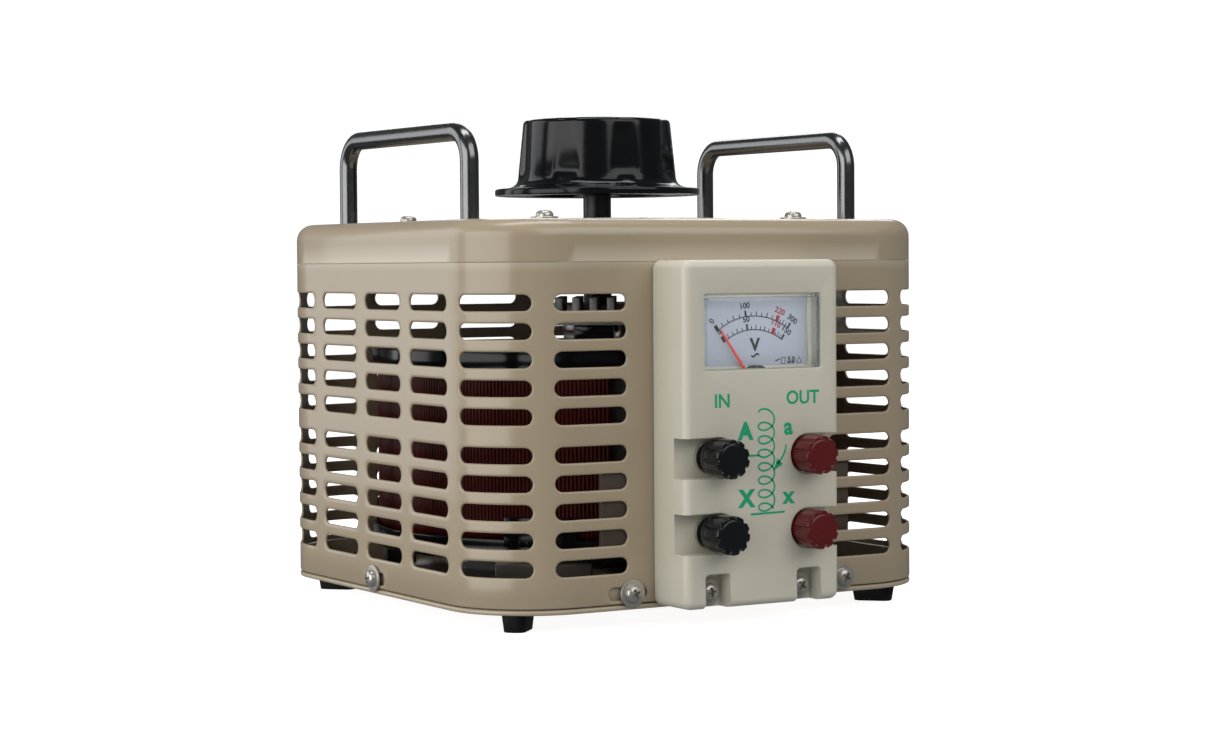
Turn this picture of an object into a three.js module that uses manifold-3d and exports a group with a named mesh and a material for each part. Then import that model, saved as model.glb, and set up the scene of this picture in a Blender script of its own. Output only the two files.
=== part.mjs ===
// A bench variac: a toroidal autotransformer with a brush that a top knob sweeps round its winding,
// in a perforated steel shell with two carrying handles and a front panel of meter and binding posts.
// Millimetres, +Z up, the front faces -Y. The origin is on the floor, under the middle of the whole.
// Everything is laid out about the knob's axis, which stands CENTRE_Y behind the origin.
import * as THREE from "three";
import { mergeGeometries, mergeVertices } from "three/addons/utils/BufferGeometryUtils.js";
import Module from "manifold-3d";

const wasm = await Module();
wasm.setup();

// ---- Driving dimensions ----
const GAP = 0.3; // air between two pieces that touch
const SHELL = { width: 216, depth: 206, corner: 37, wall: 1.2, edge: 7, bottom: 10, seam: 143.7, top: 160.8 };
const SLOT = { length: 32, height: 6.3, pitch: 11, band: 14.9, top: 131.3, nearest: 64.2, perHalf: 8 };
const SCREW_SLOT = { length: 17.4, height: 5, frontX: 48.4, leftOff: 1.6, rightOff: 6, z: 14 };
const BASE = { bottom: 7.5, plate: 2, rimTop: 20, rimWall: 1.5 };
const FOOT = { length: 18, width: 10, corner: 3.5, height: 7.2, taper: 0.86, x: 86, y: 82 };
const HANDLE = { rod: 3.75, x: 91.7, legY: 55.5, rise: 39, bend: 12, below: 8 };
const CAP_SCREW_AT = 60.5;
const DIAL_PLATE = { inner: 9, outer: 58, thick: 0.8 };
const AXIS_HOLE = 8;

const SHAFT = { radius: 6, bottom: 11.5, top: 193.5 };
const KNOB = { flange: 44, bottom: 172.3, body: 34, crown: 31.7, top: 204.8, flutes: 8, bore: 196, boss: 10 };
const KNOB_HOLLOW = { mouth: 29, roof: 27.5, top: 201 };
const KNOB_SCREW = { radius: 2, hole: 2.3, outer: 10, z: 186, facing: 58 };
const FLUTE = { radius: 20, depth: 1.3, tilt: 2.9, above: 5 };
const SWEEP = 318; // degrees from 0 V to full voltage
const REST_ANGLE = -122; // where the brush stands at 0 V, seen from above
const GAP_ANGLE = REST_ANGLE + (360 - SWEEP) / 2; // the middle of the arc the brush never reaches

const CORE = { inner: 61, outer: 90, bottom: 37, top: 100 };
const COIL = { inner: 55.5, outer: 95, bottom: 32, top: 106, opening: 34 };
const END_RING = { reach: 86, outer: 97.3, lip: 6, thick: 2.3 };
const LOWER_RING = { inner: 60, bottom: 24.5, lip: 1.5, tabWidth: 30, tabTop: 42 };
const STAND = { radius: 92, bottom: 9.8, thick: 2.2, arm: 40 };
const HUB = { outer: 10, inner: 8, flange: 22, flangeThick: 3, top: 114 };
const BUSH = { outer: 7.7, length: 10 };
const CLAMP = { radius: 61.5, thick: 3 };
const NUT = { radius: 15, height: 4 };
const STOP = { radius: 29, pin: 3, width: 14.5, reach: 33, hub: 15, bottom: 114.6, top: 118 };
const ARM = { bottom: 118.4, plate: 3, width: 45, reach: 84, boss: 16, bossHeight: 7 };
const RIB = { count: 7, thick: 3, start: 20, top: 129.5 };
const HOLDER = { inner: 64, outer: 82, width: 16, bottom: 108.5, roof: 1.5 };
const BRUSH = { inner: 68, outer: 78, width: 6, height: 5.7, spring: 2.2 };
const COLLECTOR = { radius: 14, bottom: 12.5, top: 19 };
const FINGER = { reach: 34, half: 5, tip: 1.2, thick: 1.5 };

// Distances forward of the knob's axis, for all that stands on the front
const PANEL = {
  width: 73, front: 126.7, back: SHELL.depth / 2 + GAP, bottom: 8.6, top: 144.2, wall: 2.5, edge: 3,
};
const POCKET = { floor: PANEL.front - 8.5, radius: 7.9, wall: 2.2 };
const POST = { x: 21, z: [37.8, 67.3], face: 137, capBack: 123.8, lobeBack: 127.3, hole: 2.8 };
const LOBE = { count: 10, radius: 7.4, ripple: 0.4 };
const STUD = { radius: 2.5, nut: 4.5, nutHeight: 3.2, collar: 6.6, collarHeight: 1.7 };
const NOTCH = { x: 21.5, width: 11.7, top: 22, screwZ: 14.5 };
const WINDOW = { width: 54.6, height: 29.4, z: 116.1, front: 127.4, back: 122.3, wall: 1.3, plate: 1.5 };
const DIAL = { width: 58, bottom: 86, top: 132.5, front: 119.4, thick: 1 };
const NEEDLE = { pivotZ: 93.7, reach: 28.5, tail: 5, rest: -35.7, front: 121.6, thick: 0.6 };
const STAFF = { radius: 0.8, back: 112, hub: 2.6, way: 1.6 };
const MOVEMENT = { radius: 12, front: 114, hole: 1.3 };
const HOUSING = { width: 62, bottom: 80, top: 134, front: 118.1, back: 102, wall: 1.5 };
const BOARD = {
  front: 101.3, back: 98.7, halfWide: 59, halfNarrow: 33, bottom: 30, shoulder: 63.5, top: 80, hole: 2.9,
};
const OPENING = { half: 32, bottom: 19, top: 140 }; // in the shell, behind the panel

// The three insulated leads, as the points that each runs through
const LEAD_RADIUS = 1.5;
const LEADS = {
  lead_input: [[-21, -108, 60], [-21, -105, 53], [-21, -98, 52], [-29, -93.5, 52], [-37, -89, 52]],
  lead_common: [[-12, -107, 38], [-4, -106, 41], [0, -101, 44], [1.5, -96, 45], [3, -93.5, 48]],
  lead_output: [
    [36, 0, 12], [38, -30, 12], [34, -70, 12.5], [31, -90, 18],
    [30, -100, 23.5], [30.5, -107, 29], [31, -109, 45], [28, -108, 62],
  ],
};
const LEAD_WAYS = [[-21, 52], [0.5, 44]]; // where two of them pass through the board

const HEAD = { radius: 4.1, height: 2.8, washer: 5.5, washerThick: 1, shank: 2 };
const SCREW_PROUD = HEAD.height + HEAD.washerThick + GAP;
const CENTRE_Y = (POST.face - (SHELL.depth / 2 + SCREW_PROUD)) / 2;

// ---- Solids ----
function solid(geometry) {
  const bare = geometry.clone();
  bare.deleteAttribute("normal");
  bare.deleteAttribute("uv");
  const merged = mergeVertices(bare, 1e-4);
  const kept = [];
  const index = merged.index.array;
  for (let i = 0; i < index.length; i += 3) {
    const [a, b, c] = index.slice(i, i + 3);
    if (a !== b && b !== c && c !== a) kept.push(a, b, c);
  }
  const vertProperties = Float32Array.from(merged.attributes.position.array);
  return new wasm.Manifold(new wasm.Mesh({ numProp: 3, vertProperties, triVerts: Uint32Array.from(kept) }));
}

function surface(manifold) {
  const mesh = manifold.getMesh();
  const geometry = new THREE.BufferGeometry();
  geometry.setAttribute("position", new THREE.BufferAttribute(mesh.vertProperties, 3));
  geometry.setIndex(new THREE.BufferAttribute(mesh.triVerts, 1));
  geometry.computeVertexNormals();
  return geometry;
}

const join = (...pieces) => surface(pieces.map(solid).reduce((sum, piece) => sum.add(piece)));
const cut = (body, ...tools) => surface(
  tools.map(solid).reduce((rest, tool) => rest.subtract(tool), solid(body)),
);
const overlap = (a, b) => surface(solid(a).intersect(solid(b)));

function box(x0, x1, y0, y1, z0, z1) {
  const block = new THREE.BoxGeometry(x1 - x0, y1 - y0, z1 - z0);
  return block.translate((x0 + x1) / 2, (y0 + y1) / 2, (z0 + z1) / 2);
}

// An upright prism, and one that runs forward, towards -Y, between two distances from the axis
function prism(shape, z0, z1, curveSegments = 3) {
  const settings = { depth: z1 - z0, bevelEnabled: false, curveSegments };
  return new THREE.ExtrudeGeometry(shape, settings).translate(0, 0, z0);
}
const forward = (geometry) => geometry.rotateX(Math.PI / 2);

// A body of revolution about Z from its half outline, given as [radius, height] pairs
function turned(outline, segments = 24) {
  const points = outline.map(([r, z]) => new THREE.Vector2(r, z));
  return surface(solid(new THREE.LatheGeometry(points, segments).rotateX(Math.PI / 2)));
}
function ring(inner, outer, z0, z1, segments = 24) {
  return turned([[outer, z0], [outer, z1], [inner, z1], [inner, z0], [outer, z0]], segments);
}
const rod = (radius, z0, z1, segments = 12) => turned(
  [[0, z0], [radius, z0], [radius, z1], [0, z1]], segments,
);

function roundedRect(width, height, radius, midX = 0, midY = 0) {
  const [w, h, shape] = [width / 2 - radius, height / 2 - radius, new THREE.Shape()];
  shape.absarc(midX + w, midY - h, radius, -Math.PI / 2, 0);
  shape.absarc(midX + w, midY + h, radius, 0, Math.PI / 2);
  shape.absarc(midX - w, midY + h, radius, Math.PI / 2, Math.PI);
  shape.absarc(midX - w, midY - h, radius, Math.PI, Math.PI * 1.5);
  return shape;
}

// A rounded rectangle's prism whose top edge is rounded over too
function pillow(width, depth, corner, edge, z0, z1, inset = 0) {
  const shape = roundedRect(width - 2 * edge, depth - 2 * edge, corner - edge);
  const height = z1 - z0 - edge;
  const bevel = { bevelThickness: edge - inset, bevelSize: edge - inset, bevelSegments: 2 };
  const settings = { depth: height + edge, curveSegments: 2, ...bevel };
  const block = new THREE.ExtrudeGeometry(shape, settings).translate(0, 0, z0 - edge);
  return cut(block, box(-width, width, -depth, depth, z0 - 3 * edge, z0));
}

const turn = (geometry, degrees) => geometry.rotateZ(THREE.MathUtils.degToRad(degrees));

// ---- Materials and the scene graph ----
const finish = (color, roughness, metalness = 0) => new THREE.MeshStandardMaterial(
  { color, roughness, metalness },
);
const FINISH = {
  paint: finish(0xb5a68c, 0.3),
  chrome: finish(0xd8d8da, 0.12, 1),
  blackPlastic: finish(0x0d0e11, 0.25),
  redPlastic: finish(0x4a0f14, 0.35),
  ivoryPlastic: finish(0xd6d2c2, 0.35),
  rubber: finish(0x15151a, 0.8),
  zinc: finish(0xa9abaf, 0.4, 0.9),
  blackSteel: finish(0x1c1d20, 0.4, 0.7),
  brass: finish(0xb08d4a, 0.35, 1),
  aluminium: finish(0xa8abb0, 0.45, 1),
  enamel: finish(0x5c241a, 0.4, 0.3),
  coreSteel: finish(0x55504a, 0.6, 0.6),
  carbon: finish(0x18181a, 0.7),
  phenolic: finish(0x6b5140, 0.6),
  dialPaper: finish(0xdfe3ea, 0.7),
  clear: finish(0xdde6ee, 0.05),
  needleRed: finish(0xc0201a, 0.4),
};

const group = new THREE.Group();
group.position.y = CENTRE_Y;

function add(name, geometry, material, parent = group) {
  const mesh = new THREE.Mesh(geometry, material);
  mesh.name = name;
  parent.add(mesh);
  return mesh;
}

function frontGroup(x, z) {
  const place = new THREE.Group();
  place.position.set(x, 0, z);
  group.add(place);
  return place;
}

// ---- Shell ----
// A point of the shell's outer surface: along is the way round from the middle of the front, out is how
// far it stands off that surface
function aroundShell(along, out) {
  const { width, depth, corner } = SHELL;
  const [flatX, flatY, arc] = [width / 2 - corner, depth - 2 * corner, (Math.PI / 2) * corner];
  const half = 2 * flatX + flatY + 2 * arc;
  const side = along < 0 || along > half ? -1 : 1;
  let s = along < 0 ? -along : Math.min(along, 2 * half - along);
  const reach = corner + out;
  const bend = (x, y, angle) => [side * (x + reach * Math.cos(angle)), y + reach * Math.sin(angle)];
  if (s < flatX) return [side * s, -depth / 2 - out];
  s -= flatX;
  if (s < arc) return bend(flatX, -depth / 2 + corner, s / corner - Math.PI / 2);
  s -= arc;
  if (s < flatY) return [side * (width / 2 + out), -flatY / 2 + s];
  s -= flatY;
  if (s < arc) return bend(flatX, depth / 2 - corner, s / corner);
  return [side * (flatX - (s - arc)), depth / 2 + out];
}

const PUNCH = { inside: -SHELL.wall - 2, outside: 8, steps: 4 };

// The tool that punches one slot with pointed ends, bent to follow the shell
function slotTool(along, z, length, height) {
  const { inside, outside, steps } = PUNCH;
  const [r, reach] = [height / 2, length / 2 - height / 3];
  const points = [];
  for (let i = 0; i <= steps; i++) points.push([-reach + (2 * reach * i) / steps, -r]);
  points.push([length / 2, 0]);
  for (let i = 0; i <= steps; i++) points.push([reach - (2 * reach * i) / steps, r]);
  points.push([-length / 2, 0]);
  const tool = prism(new THREE.Shape(points.map(([x, y]) => new THREE.Vector2(x, y))), inside, outside);
  const position = tool.getAttribute("position");
  for (let i = 0; i < position.count; i++) {
    const [x, y] = aroundShell(along + position.getX(i), position.getZ(i));
    position.setXYZ(i, x, y, z + position.getY(i));
  }
  return tool;
}

function slotColumns() {
  const half = SHELL.width + SHELL.depth - 4 * SHELL.corner + Math.PI * SHELL.corner;
  const step = (half - SLOT.nearest) / SLOT.perHalf;
  const columns = [half];
  for (let k = 0; k < SLOT.perHalf; k++) columns.push(SLOT.nearest + k * step, -SLOT.nearest - k * step);
  return columns;
}

function slotRows() {
  const first = SLOT.top - SLOT.height / 2;
  const upper = [0, 1, 2, 3, 4].map((i) => first - i * SLOT.pitch);
  return upper.concat(upper.map((z) => z - 4 * SLOT.pitch - SLOT.band));
}

// Where the shell is screwed to the base: how far round, and the way the screw faces there
function shellScrews() {
  const { frontX, leftOff, rightOff } = SCREW_SLOT;
  const [x, y] = [SHELL.width / 2, SHELL.depth / 2];
  const quarter = x + y - 2 * SHELL.corner + (Math.PI / 2) * SHELL.corner;
  return [
    { name: "front_left", along: -frontX, at: [-frontX + leftOff, -y], facing: 0 },
    { name: "front_right", along: frontX, at: [frontX + rightOff, -y], facing: 0 },
    { name: "left", along: -quarter, at: [-x, 0], facing: -90 },
    { name: "right", along: quarter, at: [x, 0], facing: 90 },
    { name: "back", along: 2 * quarter, at: [0, y], facing: 180 },
  ];
}

function shellOutline(inset) {
  return roundedRect(SHELL.width - 2 * inset, SHELL.depth - 2 * inset, SHELL.corner - inset);
}

function shellWrap() {
  const wall = shellOutline(0);
  wall.holes.push(shellOutline(SHELL.wall));
  const slots = slotRows().flatMap((z) => slotColumns().map((s) => slotTool(s, z, SLOT.length, SLOT.height)));
  const { length, height, z: screwZ } = SCREW_SLOT;
  const screwSlots = shellScrews().map(({ along }) => slotTool(along, screwZ, length, height));
  const { half, bottom, top } = OPENING;
  const opening = box(-half, half, -SHELL.depth / 2 - 5, -SHELL.depth / 2 + 5, bottom, top);
  const sleeve = prism(wall, SHELL.bottom, SHELL.seam, 2);
  return cut(sleeve, mergeGeometries([...slots, ...screwSlots]), opening);
}

const CORNERS = [[-1, -1], [1, -1], [-1, 1], [1, 1]];
const CORNER_NAMES = ["front_left", "front_right", "back_left", "back_right"];

function shellCap() {
  const { width, depth, corner, edge, wall, seam, top } = SHELL;
  const bottom = seam + GAP;
  const inner = pillow(width, depth, corner, edge, bottom - 1, top - wall, wall);
  const holes = [rod(AXIS_HOLE, bottom, top + 1, 24)];
  for (const [x, y] of CORNERS) {
    holes.push(rod(HANDLE.rod + GAP, bottom, top + 1, 12).translate(x * HANDLE.x, y * HANDLE.legY, 0));
    holes.push(rod(HEAD.shank + GAP, bottom, top + 1, 10).translate(x * CAP_SCREW_AT, y * CAP_SCREW_AT, 0));
  }
  return cut(pillow(width, depth, corner, edge, bottom, top), inner, ...holes);
}

function handle() {
  const top = SHELL.top + HANDLE.rise - HANDLE.rod;
  const foot = SHELL.top - HANDLE.below;
  const line = new THREE.Path();
  line.moveTo(-HANDLE.legY, foot);
  line.lineTo(-HANDLE.legY, top - HANDLE.bend);
  line.absarc(-HANDLE.legY + HANDLE.bend, top - HANDLE.bend, HANDLE.bend, Math.PI, Math.PI / 2, true);
  line.lineTo(HANDLE.legY - HANDLE.bend, top);
  line.absarc(HANDLE.legY - HANDLE.bend, top - HANDLE.bend, HANDLE.bend, Math.PI / 2, 0, true);
  line.lineTo(HANDLE.legY, foot);
  class Route extends THREE.Curve {
    getPoint(t, target = new THREE.Vector3()) {
      const p = line.getPointAt(t);
      return target.set(0, p.x, p.y);
    }
  }
  const section = new THREE.Shape().absarc(0, 0, HANDLE.rod, 0, 2 * Math.PI);
  return new THREE.ExtrudeGeometry(section, { steps: 30, extrudePath: new Route(), curveSegments: 4 });
}

// A pan-head screw with its washer, driven along -Z, seated on z = 0
function screw(shankLength) {
  const { radius, height, washer, washerThick, shank } = HEAD;
  return turned([
    [0, -shankLength], [shank, -shankLength], [shank, GAP], [washer, GAP], [washer, GAP + washerThick],
    [radius, GAP + washerThick], [radius, GAP + washerThick + height * 0.45],
    [radius * 0.7, GAP + washerThick + height], [0, GAP + washerThick + height],
  ], 10);
}

function basePlate() {
  const plate = prism(shellOutline(0), BASE.bottom, BASE.bottom + BASE.plate, 2);
  const inset = SHELL.wall + GAP;
  const rimShape = shellOutline(inset);
  rimShape.holes.push(shellOutline(inset + BASE.rimWall));
  const rim = prism(rimShape, BASE.bottom + BASE.plate / 2, BASE.rimTop, 2);
  const holes = shellScrews().map(({ at, facing }) => {
    const hole = turn(forward(rod(HEAD.shank + GAP, -8, 8, 10)), facing);
    return hole.translate(at[0], at[1], SCREW_SLOT.z);
  });
  return cut(join(plate, rim), ...holes);
}

function foot() {
  const block = prism(roundedRect(FOOT.length, FOOT.width, FOOT.corner), 0, FOOT.height, 3);
  const position = block.getAttribute("position");
  for (let i = 0; i < position.count; i++) {
    const share = position.getZ(i) < FOOT.height / 2 ? FOOT.taper : 1;
    position.setX(i, position.getX(i) * share);
    position.setY(i, position.getY(i) * share);
  }
  return block;
}

function addCase() {
  add("base_plate", basePlate(), FINISH.paint);
  add("shell_wrap", shellWrap(), FINISH.paint);
  add("shell_cap", shellCap(), FINISH.paint);
  const { inner, outer, thick } = DIAL_PLATE;
  const seat = SHELL.top + GAP;
  add("dial_plate", ring(inner, outer, seat, seat + thick, 32), FINISH.aluminium);
  CORNERS.forEach(([x, y], i) => {
    const block = add("foot_" + CORNER_NAMES[i], foot(), FINISH.rubber);
    block.position.set(x * FOOT.x, y * FOOT.y, 0);
    block.rotation.z = (x * y * Math.PI) / 4;
    const fixing = add("cap_screw_" + CORNER_NAMES[i], screw(6), FINISH.zinc);
    fixing.position.set(x * CAP_SCREW_AT, y * CAP_SCREW_AT, SHELL.top);
  });
  for (const [name, side] of [["handle_left", -1], ["handle_right", 1]]) {
    add(name, handle(), FINISH.chrome).position.x = side * HANDLE.x;
  }
  for (const { name, at, facing } of shellScrews()) {
    const geometry = turn(forward(screw(6)), facing);
    add("shell_screw_" + name, geometry, FINISH.zinc).position.set(at[0], at[1], SCREW_SLOT.z);
  }
}

// ---- Transformer ----
function wedge(middle, opening, z0, z1) {
  const reach = 150;
  const half = THREE.MathUtils.degToRad(opening / 2);
  const corner = (a) => new THREE.Vector2(reach * Math.cos(a), reach * Math.sin(a));
  const shape = new THREE.Shape([
    new THREE.Vector2(0, 0), corner(-half), new THREE.Vector2(reach, 0), corner(half),
  ]);
  return turn(prism(shape, z0, z1), middle);
}

function winding() {
  const hollow = ring(CORE.inner - GAP, CORE.outer + GAP, CORE.bottom - GAP, CORE.top + GAP, 36);
  const whole = ring(COIL.inner, COIL.outer, COIL.bottom, COIL.top, 36);
  return cut(whole, hollow, wedge(GAP_ANGLE, COIL.opening, COIL.bottom - 5, COIL.top + 5));
}

function upperRing() {
  const { reach, outer, lip, thick } = END_RING;
  const [wall, seat] = [COIL.outer + GAP, COIL.top + GAP];
  return turned([
    [outer, seat - lip], [outer, seat + thick - 1], [outer - 1, seat + thick], [reach, seat + thick],
    [reach, seat], [wall, seat], [wall, seat - lip], [outer, seat - lip],
  ], 36);
}

function lowerRing() {
  const { inner, bottom, lip, tabWidth, tabTop } = LOWER_RING;
  const [wall, seat, outer] = [COIL.outer + GAP, COIL.bottom - GAP, END_RING.outer];
  const base = turned([
    [outer, bottom], [outer, seat + lip], [wall, seat + lip], [wall, seat], [inner, seat], [inner, bottom],
    [outer, bottom],
  ], 36);
  const band = ring(wall, outer, seat, tabTop, 36);
  const tabs = [45, 135, 225, 315].map((angle) => {
    const block = box(COIL.outer - 8, outer + 5, -tabWidth / 2, tabWidth / 2, seat, tabTop);
    return overlap(band, turn(block, angle));
  });
  return join(base, ...tabs);
}

function coilStand() {
  const { radius, bottom, thick, arm } = STAND;
  const top = LOWER_RING.bottom - GAP;
  const half = arm / 2;
  const arms = [45, 135].map((angle) => turn(box(-radius, radius, -half, half, top - thick, top), angle));
  const legs = [45, 135, 225, 315].map((angle) => {
    return turn(box(radius - thick, radius, -half, half, bottom, top), angle);
  });
  return cut(join(...arms, ...legs), rod(HUB.inner + 0.5, bottom, top + 1, 24));
}

function hubTube() {
  const { outer, inner, flange, flangeThick, top } = HUB;
  const [foot, ledge] = [LOWER_RING.bottom, LOWER_RING.bottom + flangeThick];
  return turned([
    [flange, foot], [flange, ledge], [outer, ledge], [outer, top],
    [inner, top], [inner, foot], [flange, foot],
  ]);
}

// A round wire along a smooth line through its points
function lead(points) {
  const route = new THREE.CatmullRomCurve3(points.map((p) => new THREE.Vector3(...p)));
  const section = new THREE.Shape().absarc(0, 0, LEAD_RADIUS, 0, 2 * Math.PI);
  return new THREE.ExtrudeGeometry(section, { steps: 12, extrudePath: route, curveSegments: 3 });
}

// The strip that rubs on the collector ring and stands on the base
function collectorFinger() {
  const { reach, half, tip, thick } = FINGER;
  const [near, { bottom, top }] = [COLLECTOR.radius + GAP, COLLECTOR];
  return join(
    box(near, near + tip, -half, half, bottom, top),
    box(near, reach, -half, half, top - thick, top),
    box(reach - thick, reach, -half, half, BASE.bottom + BASE.plate + GAP, top),
  );
}

function addTransformer() {
  const clampSeat = COIL.top + GAP;
  const nutSeat = clampSeat + CLAMP.thick + GAP;
  const bush = (z) => ring(SHAFT.radius + GAP, BUSH.outer, z, z + BUSH.length, 24);
  const nutBlank = rod(NUT.radius, nutSeat, nutSeat + NUT.height, 6);
  const nut = cut(nutBlank, rod(HUB.outer + GAP, nutSeat - 1, nutSeat + NUT.height + 1, 20));
  const pinAt = THREE.MathUtils.degToRad(GAP_ANGLE);
  add("coil_stand", coilStand(), FINISH.zinc);
  add("lower_ring", lowerRing(), FINISH.blackPlastic);
  add("toroid_core", ring(CORE.inner, CORE.outer, CORE.bottom, CORE.top, 36), FINISH.coreSteel);
  add("winding", winding(), FINISH.enamel);
  add("upper_ring", upperRing(), FINISH.blackPlastic);
  add("hub_tube", hubTube(), FINISH.aluminium);
  add("bearing_lower", bush(LOWER_RING.bottom + 1), FINISH.brass);
  add("bearing_upper", bush(HUB.top - BUSH.length), FINISH.brass);
  add("clamp_disc", ring(HUB.outer + GAP, CLAMP.radius, clampSeat, clampSeat + CLAMP.thick), FINISH.phenolic);
  add("clamp_nut", nut, FINISH.zinc);
  const pin = add("stop_pin", rod(STOP.pin, nutSeat, STOP.top - GAP), FINISH.zinc);
  pin.position.set(STOP.radius * Math.cos(pinAt), STOP.radius * Math.sin(pinAt), 0);
  add("collector_finger", collectorFinger(), FINISH.brass);
  for (const [name, points] of Object.entries(LEADS)) add(name, lead(points), FINISH.rubber);
}

// ---- Rotor: all that turns with the knob ----
function knob() {
  const { flange, bottom, body, crown, top, flutes, bore, boss } = KNOB;
  const { mouth, roof, top: hollowTop } = KNOB_HOLLOW;
  const shape = turned([
    [0, bore], [SHAFT.radius + GAP, bore], [SHAFT.radius + GAP, bottom], [boss, bottom], [boss, hollowTop],
    [roof, hollowTop], [mouth, bottom],
    [flange - 0.5, bottom], [flange, bottom + 0.5], [flange, bottom + 2.4],
    [flange - 0.6, bottom + 2.9], [flange - 4, bottom + 3.2], [body + 2, bottom + 4.4], [body, bottom + 6.5],
    [crown, top - 2], [crown - 0.6, top - 0.6], [crown - 2.2, top], [0, top],
  ], 32);
  const tilt = THREE.MathUtils.degToRad(FLUTE.tilt);
  const cutters = [];
  for (let i = 0; i < flutes; i++) {
    const cutter = rod(FLUTE.radius, bottom + FLUTE.above, top + 5, 16).rotateY(-tilt);
    cutter.translate(body - FLUTE.depth + FLUTE.radius + bottom * Math.sin(tilt), 0, 0);
    cutters.push(turn(cutter, REST_ANGLE + ((i + 0.5) * 360) / flutes));
  }
  return cut(shape, ...cutters, knobScrewRod(KNOB_SCREW.hole, boss / 2, body + 5));
}

// A rod across the knob, where its screw goes
function knobScrewRod(radius, near, far) {
  const { z, facing } = KNOB_SCREW;
  return turn(rod(radius, near, far, 12).rotateY(Math.PI / 2).translate(0, 0, z), facing);
}

function brushArm() {
  const { bottom, plate, width, reach, boss, bossHeight } = ARM;
  const floor = box(0, reach, -width / 2, width / 2, bottom, bottom + plate);
  const hub = rod(boss, bottom, bottom + bossHeight, 24);
  const pitch = (width - RIB.thick) / (RIB.count - 1);
  const ribs = [];
  for (let i = 0; i < RIB.count; i++) {
    const y = -width / 2 + i * pitch;
    ribs.push(box(RIB.start, reach, y, y + RIB.thick, bottom + plate / 2, RIB.top));
  }
  return cut(join(floor, hub, ...ribs), rod(SHAFT.radius + GAP, bottom - 1, bottom + bossHeight + 1, 24));
}

function brushHolder() {
  const { inner, outer, width, bottom, roof } = HOLDER;
  const top = ARM.bottom - GAP;
  const half = BRUSH.width / 2 + GAP;
  const body = box(inner, outer, -width / 2, width / 2, bottom, top);
  return cut(body, box(BRUSH.inner - GAP, BRUSH.outer + GAP, -half, half, bottom - 1, top - roof));
}

function stopArm() {
  const { hub, reach, width, bottom, top } = STOP;
  const blade = join(rod(hub, bottom, top, 24), box(0, reach, -width / 2, width / 2, bottom, top));
  return cut(blade, rod(SHAFT.radius + GAP, bottom - 1, top + 1, 24));
}

function addRotor() {
  const brushBottom = COIL.top + GAP;
  const brushTop = brushBottom + BRUSH.height;
  const springTop = ARM.bottom - GAP - HOLDER.roof - GAP;
  const half = BRUSH.width / 2;
  const arm = new THREE.Group();
  arm.rotation.z = THREE.MathUtils.degToRad(REST_ANGLE);
  group.add(arm);
  const collector = ring(SHAFT.radius + GAP, COLLECTOR.radius, COLLECTOR.bottom, COLLECTOR.top, 24);
  const grub = knobScrewRod(KNOB_SCREW.radius, SHAFT.radius + 2 * GAP, KNOB_SCREW.outer);
  const spring = rod(BRUSH.spring, brushTop + GAP, springTop, 12);
  spring.translate((BRUSH.inner + BRUSH.outer) / 2, 0, 0);
  add("shaft", rod(SHAFT.radius, SHAFT.bottom, SHAFT.top, 24), FINISH.blackSteel);
  add("knob", knob(), FINISH.blackPlastic);
  add("knob_screw", grub, FINISH.zinc);
  add("collector_ring", collector, FINISH.brass);
  add("stop_arm", stopArm(), FINISH.zinc, arm);
  add("brush_arm", brushArm(), FINISH.aluminium, arm);
  add("brush_holder", brushHolder(), FINISH.blackPlastic, arm);
  add("carbon_brush", box(BRUSH.inner, BRUSH.outer, -half, half, brushBottom, brushTop), FINISH.carbon, arm);
  add("brush_spring", spring, FINISH.zinc, arm);
}

// ---- Front panel ----
// A prism that runs forward from one distance to another; the shape's axes are X and Z
const frontPrism = (shape, near, far, segments) => forward(prism(shape, near, far, segments));
const frontBox = (x0, x1, near, far, z0, z1) => box(x0, x1, -far, -near, z0, z1);

// The pocket a bare wire is led through to a binding post: open to the side, round at its inner end
function pocketShape(side, z, grow) {
  const r = POCKET.radius + grow;
  const [x, outside] = [side * POST.x, side * (PANEL.width / 2 + 5)];
  const shape = new THREE.Shape();
  shape.moveTo(outside, z - side * r);
  shape.lineTo(outside, z + side * r);
  shape.lineTo(x, z + side * r);
  shape.absarc(x, z, r, side > 0 ? Math.PI / 2 : -Math.PI / 2, side > 0 ? Math.PI * 1.5 : Math.PI / 2);
  return shape;
}

function notchShape(side, grow) {
  const reach = NOTCH.top - PANEL.bottom + 10;
  const middle = NOTCH.top - reach / 2;
  return roundedRect(NOTCH.width + 2 * grow, reach + 2 * grow, 2 + grow, side * NOTCH.x, middle);
}

function panelOuter() {
  const { width, front, back, bottom, top, edge } = PANEL;
  const block = pillow(width, top - bottom, edge + 0.5, edge, back, front);
  return forward(block).translate(0, 0, (top + bottom) / 2);
}

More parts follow.
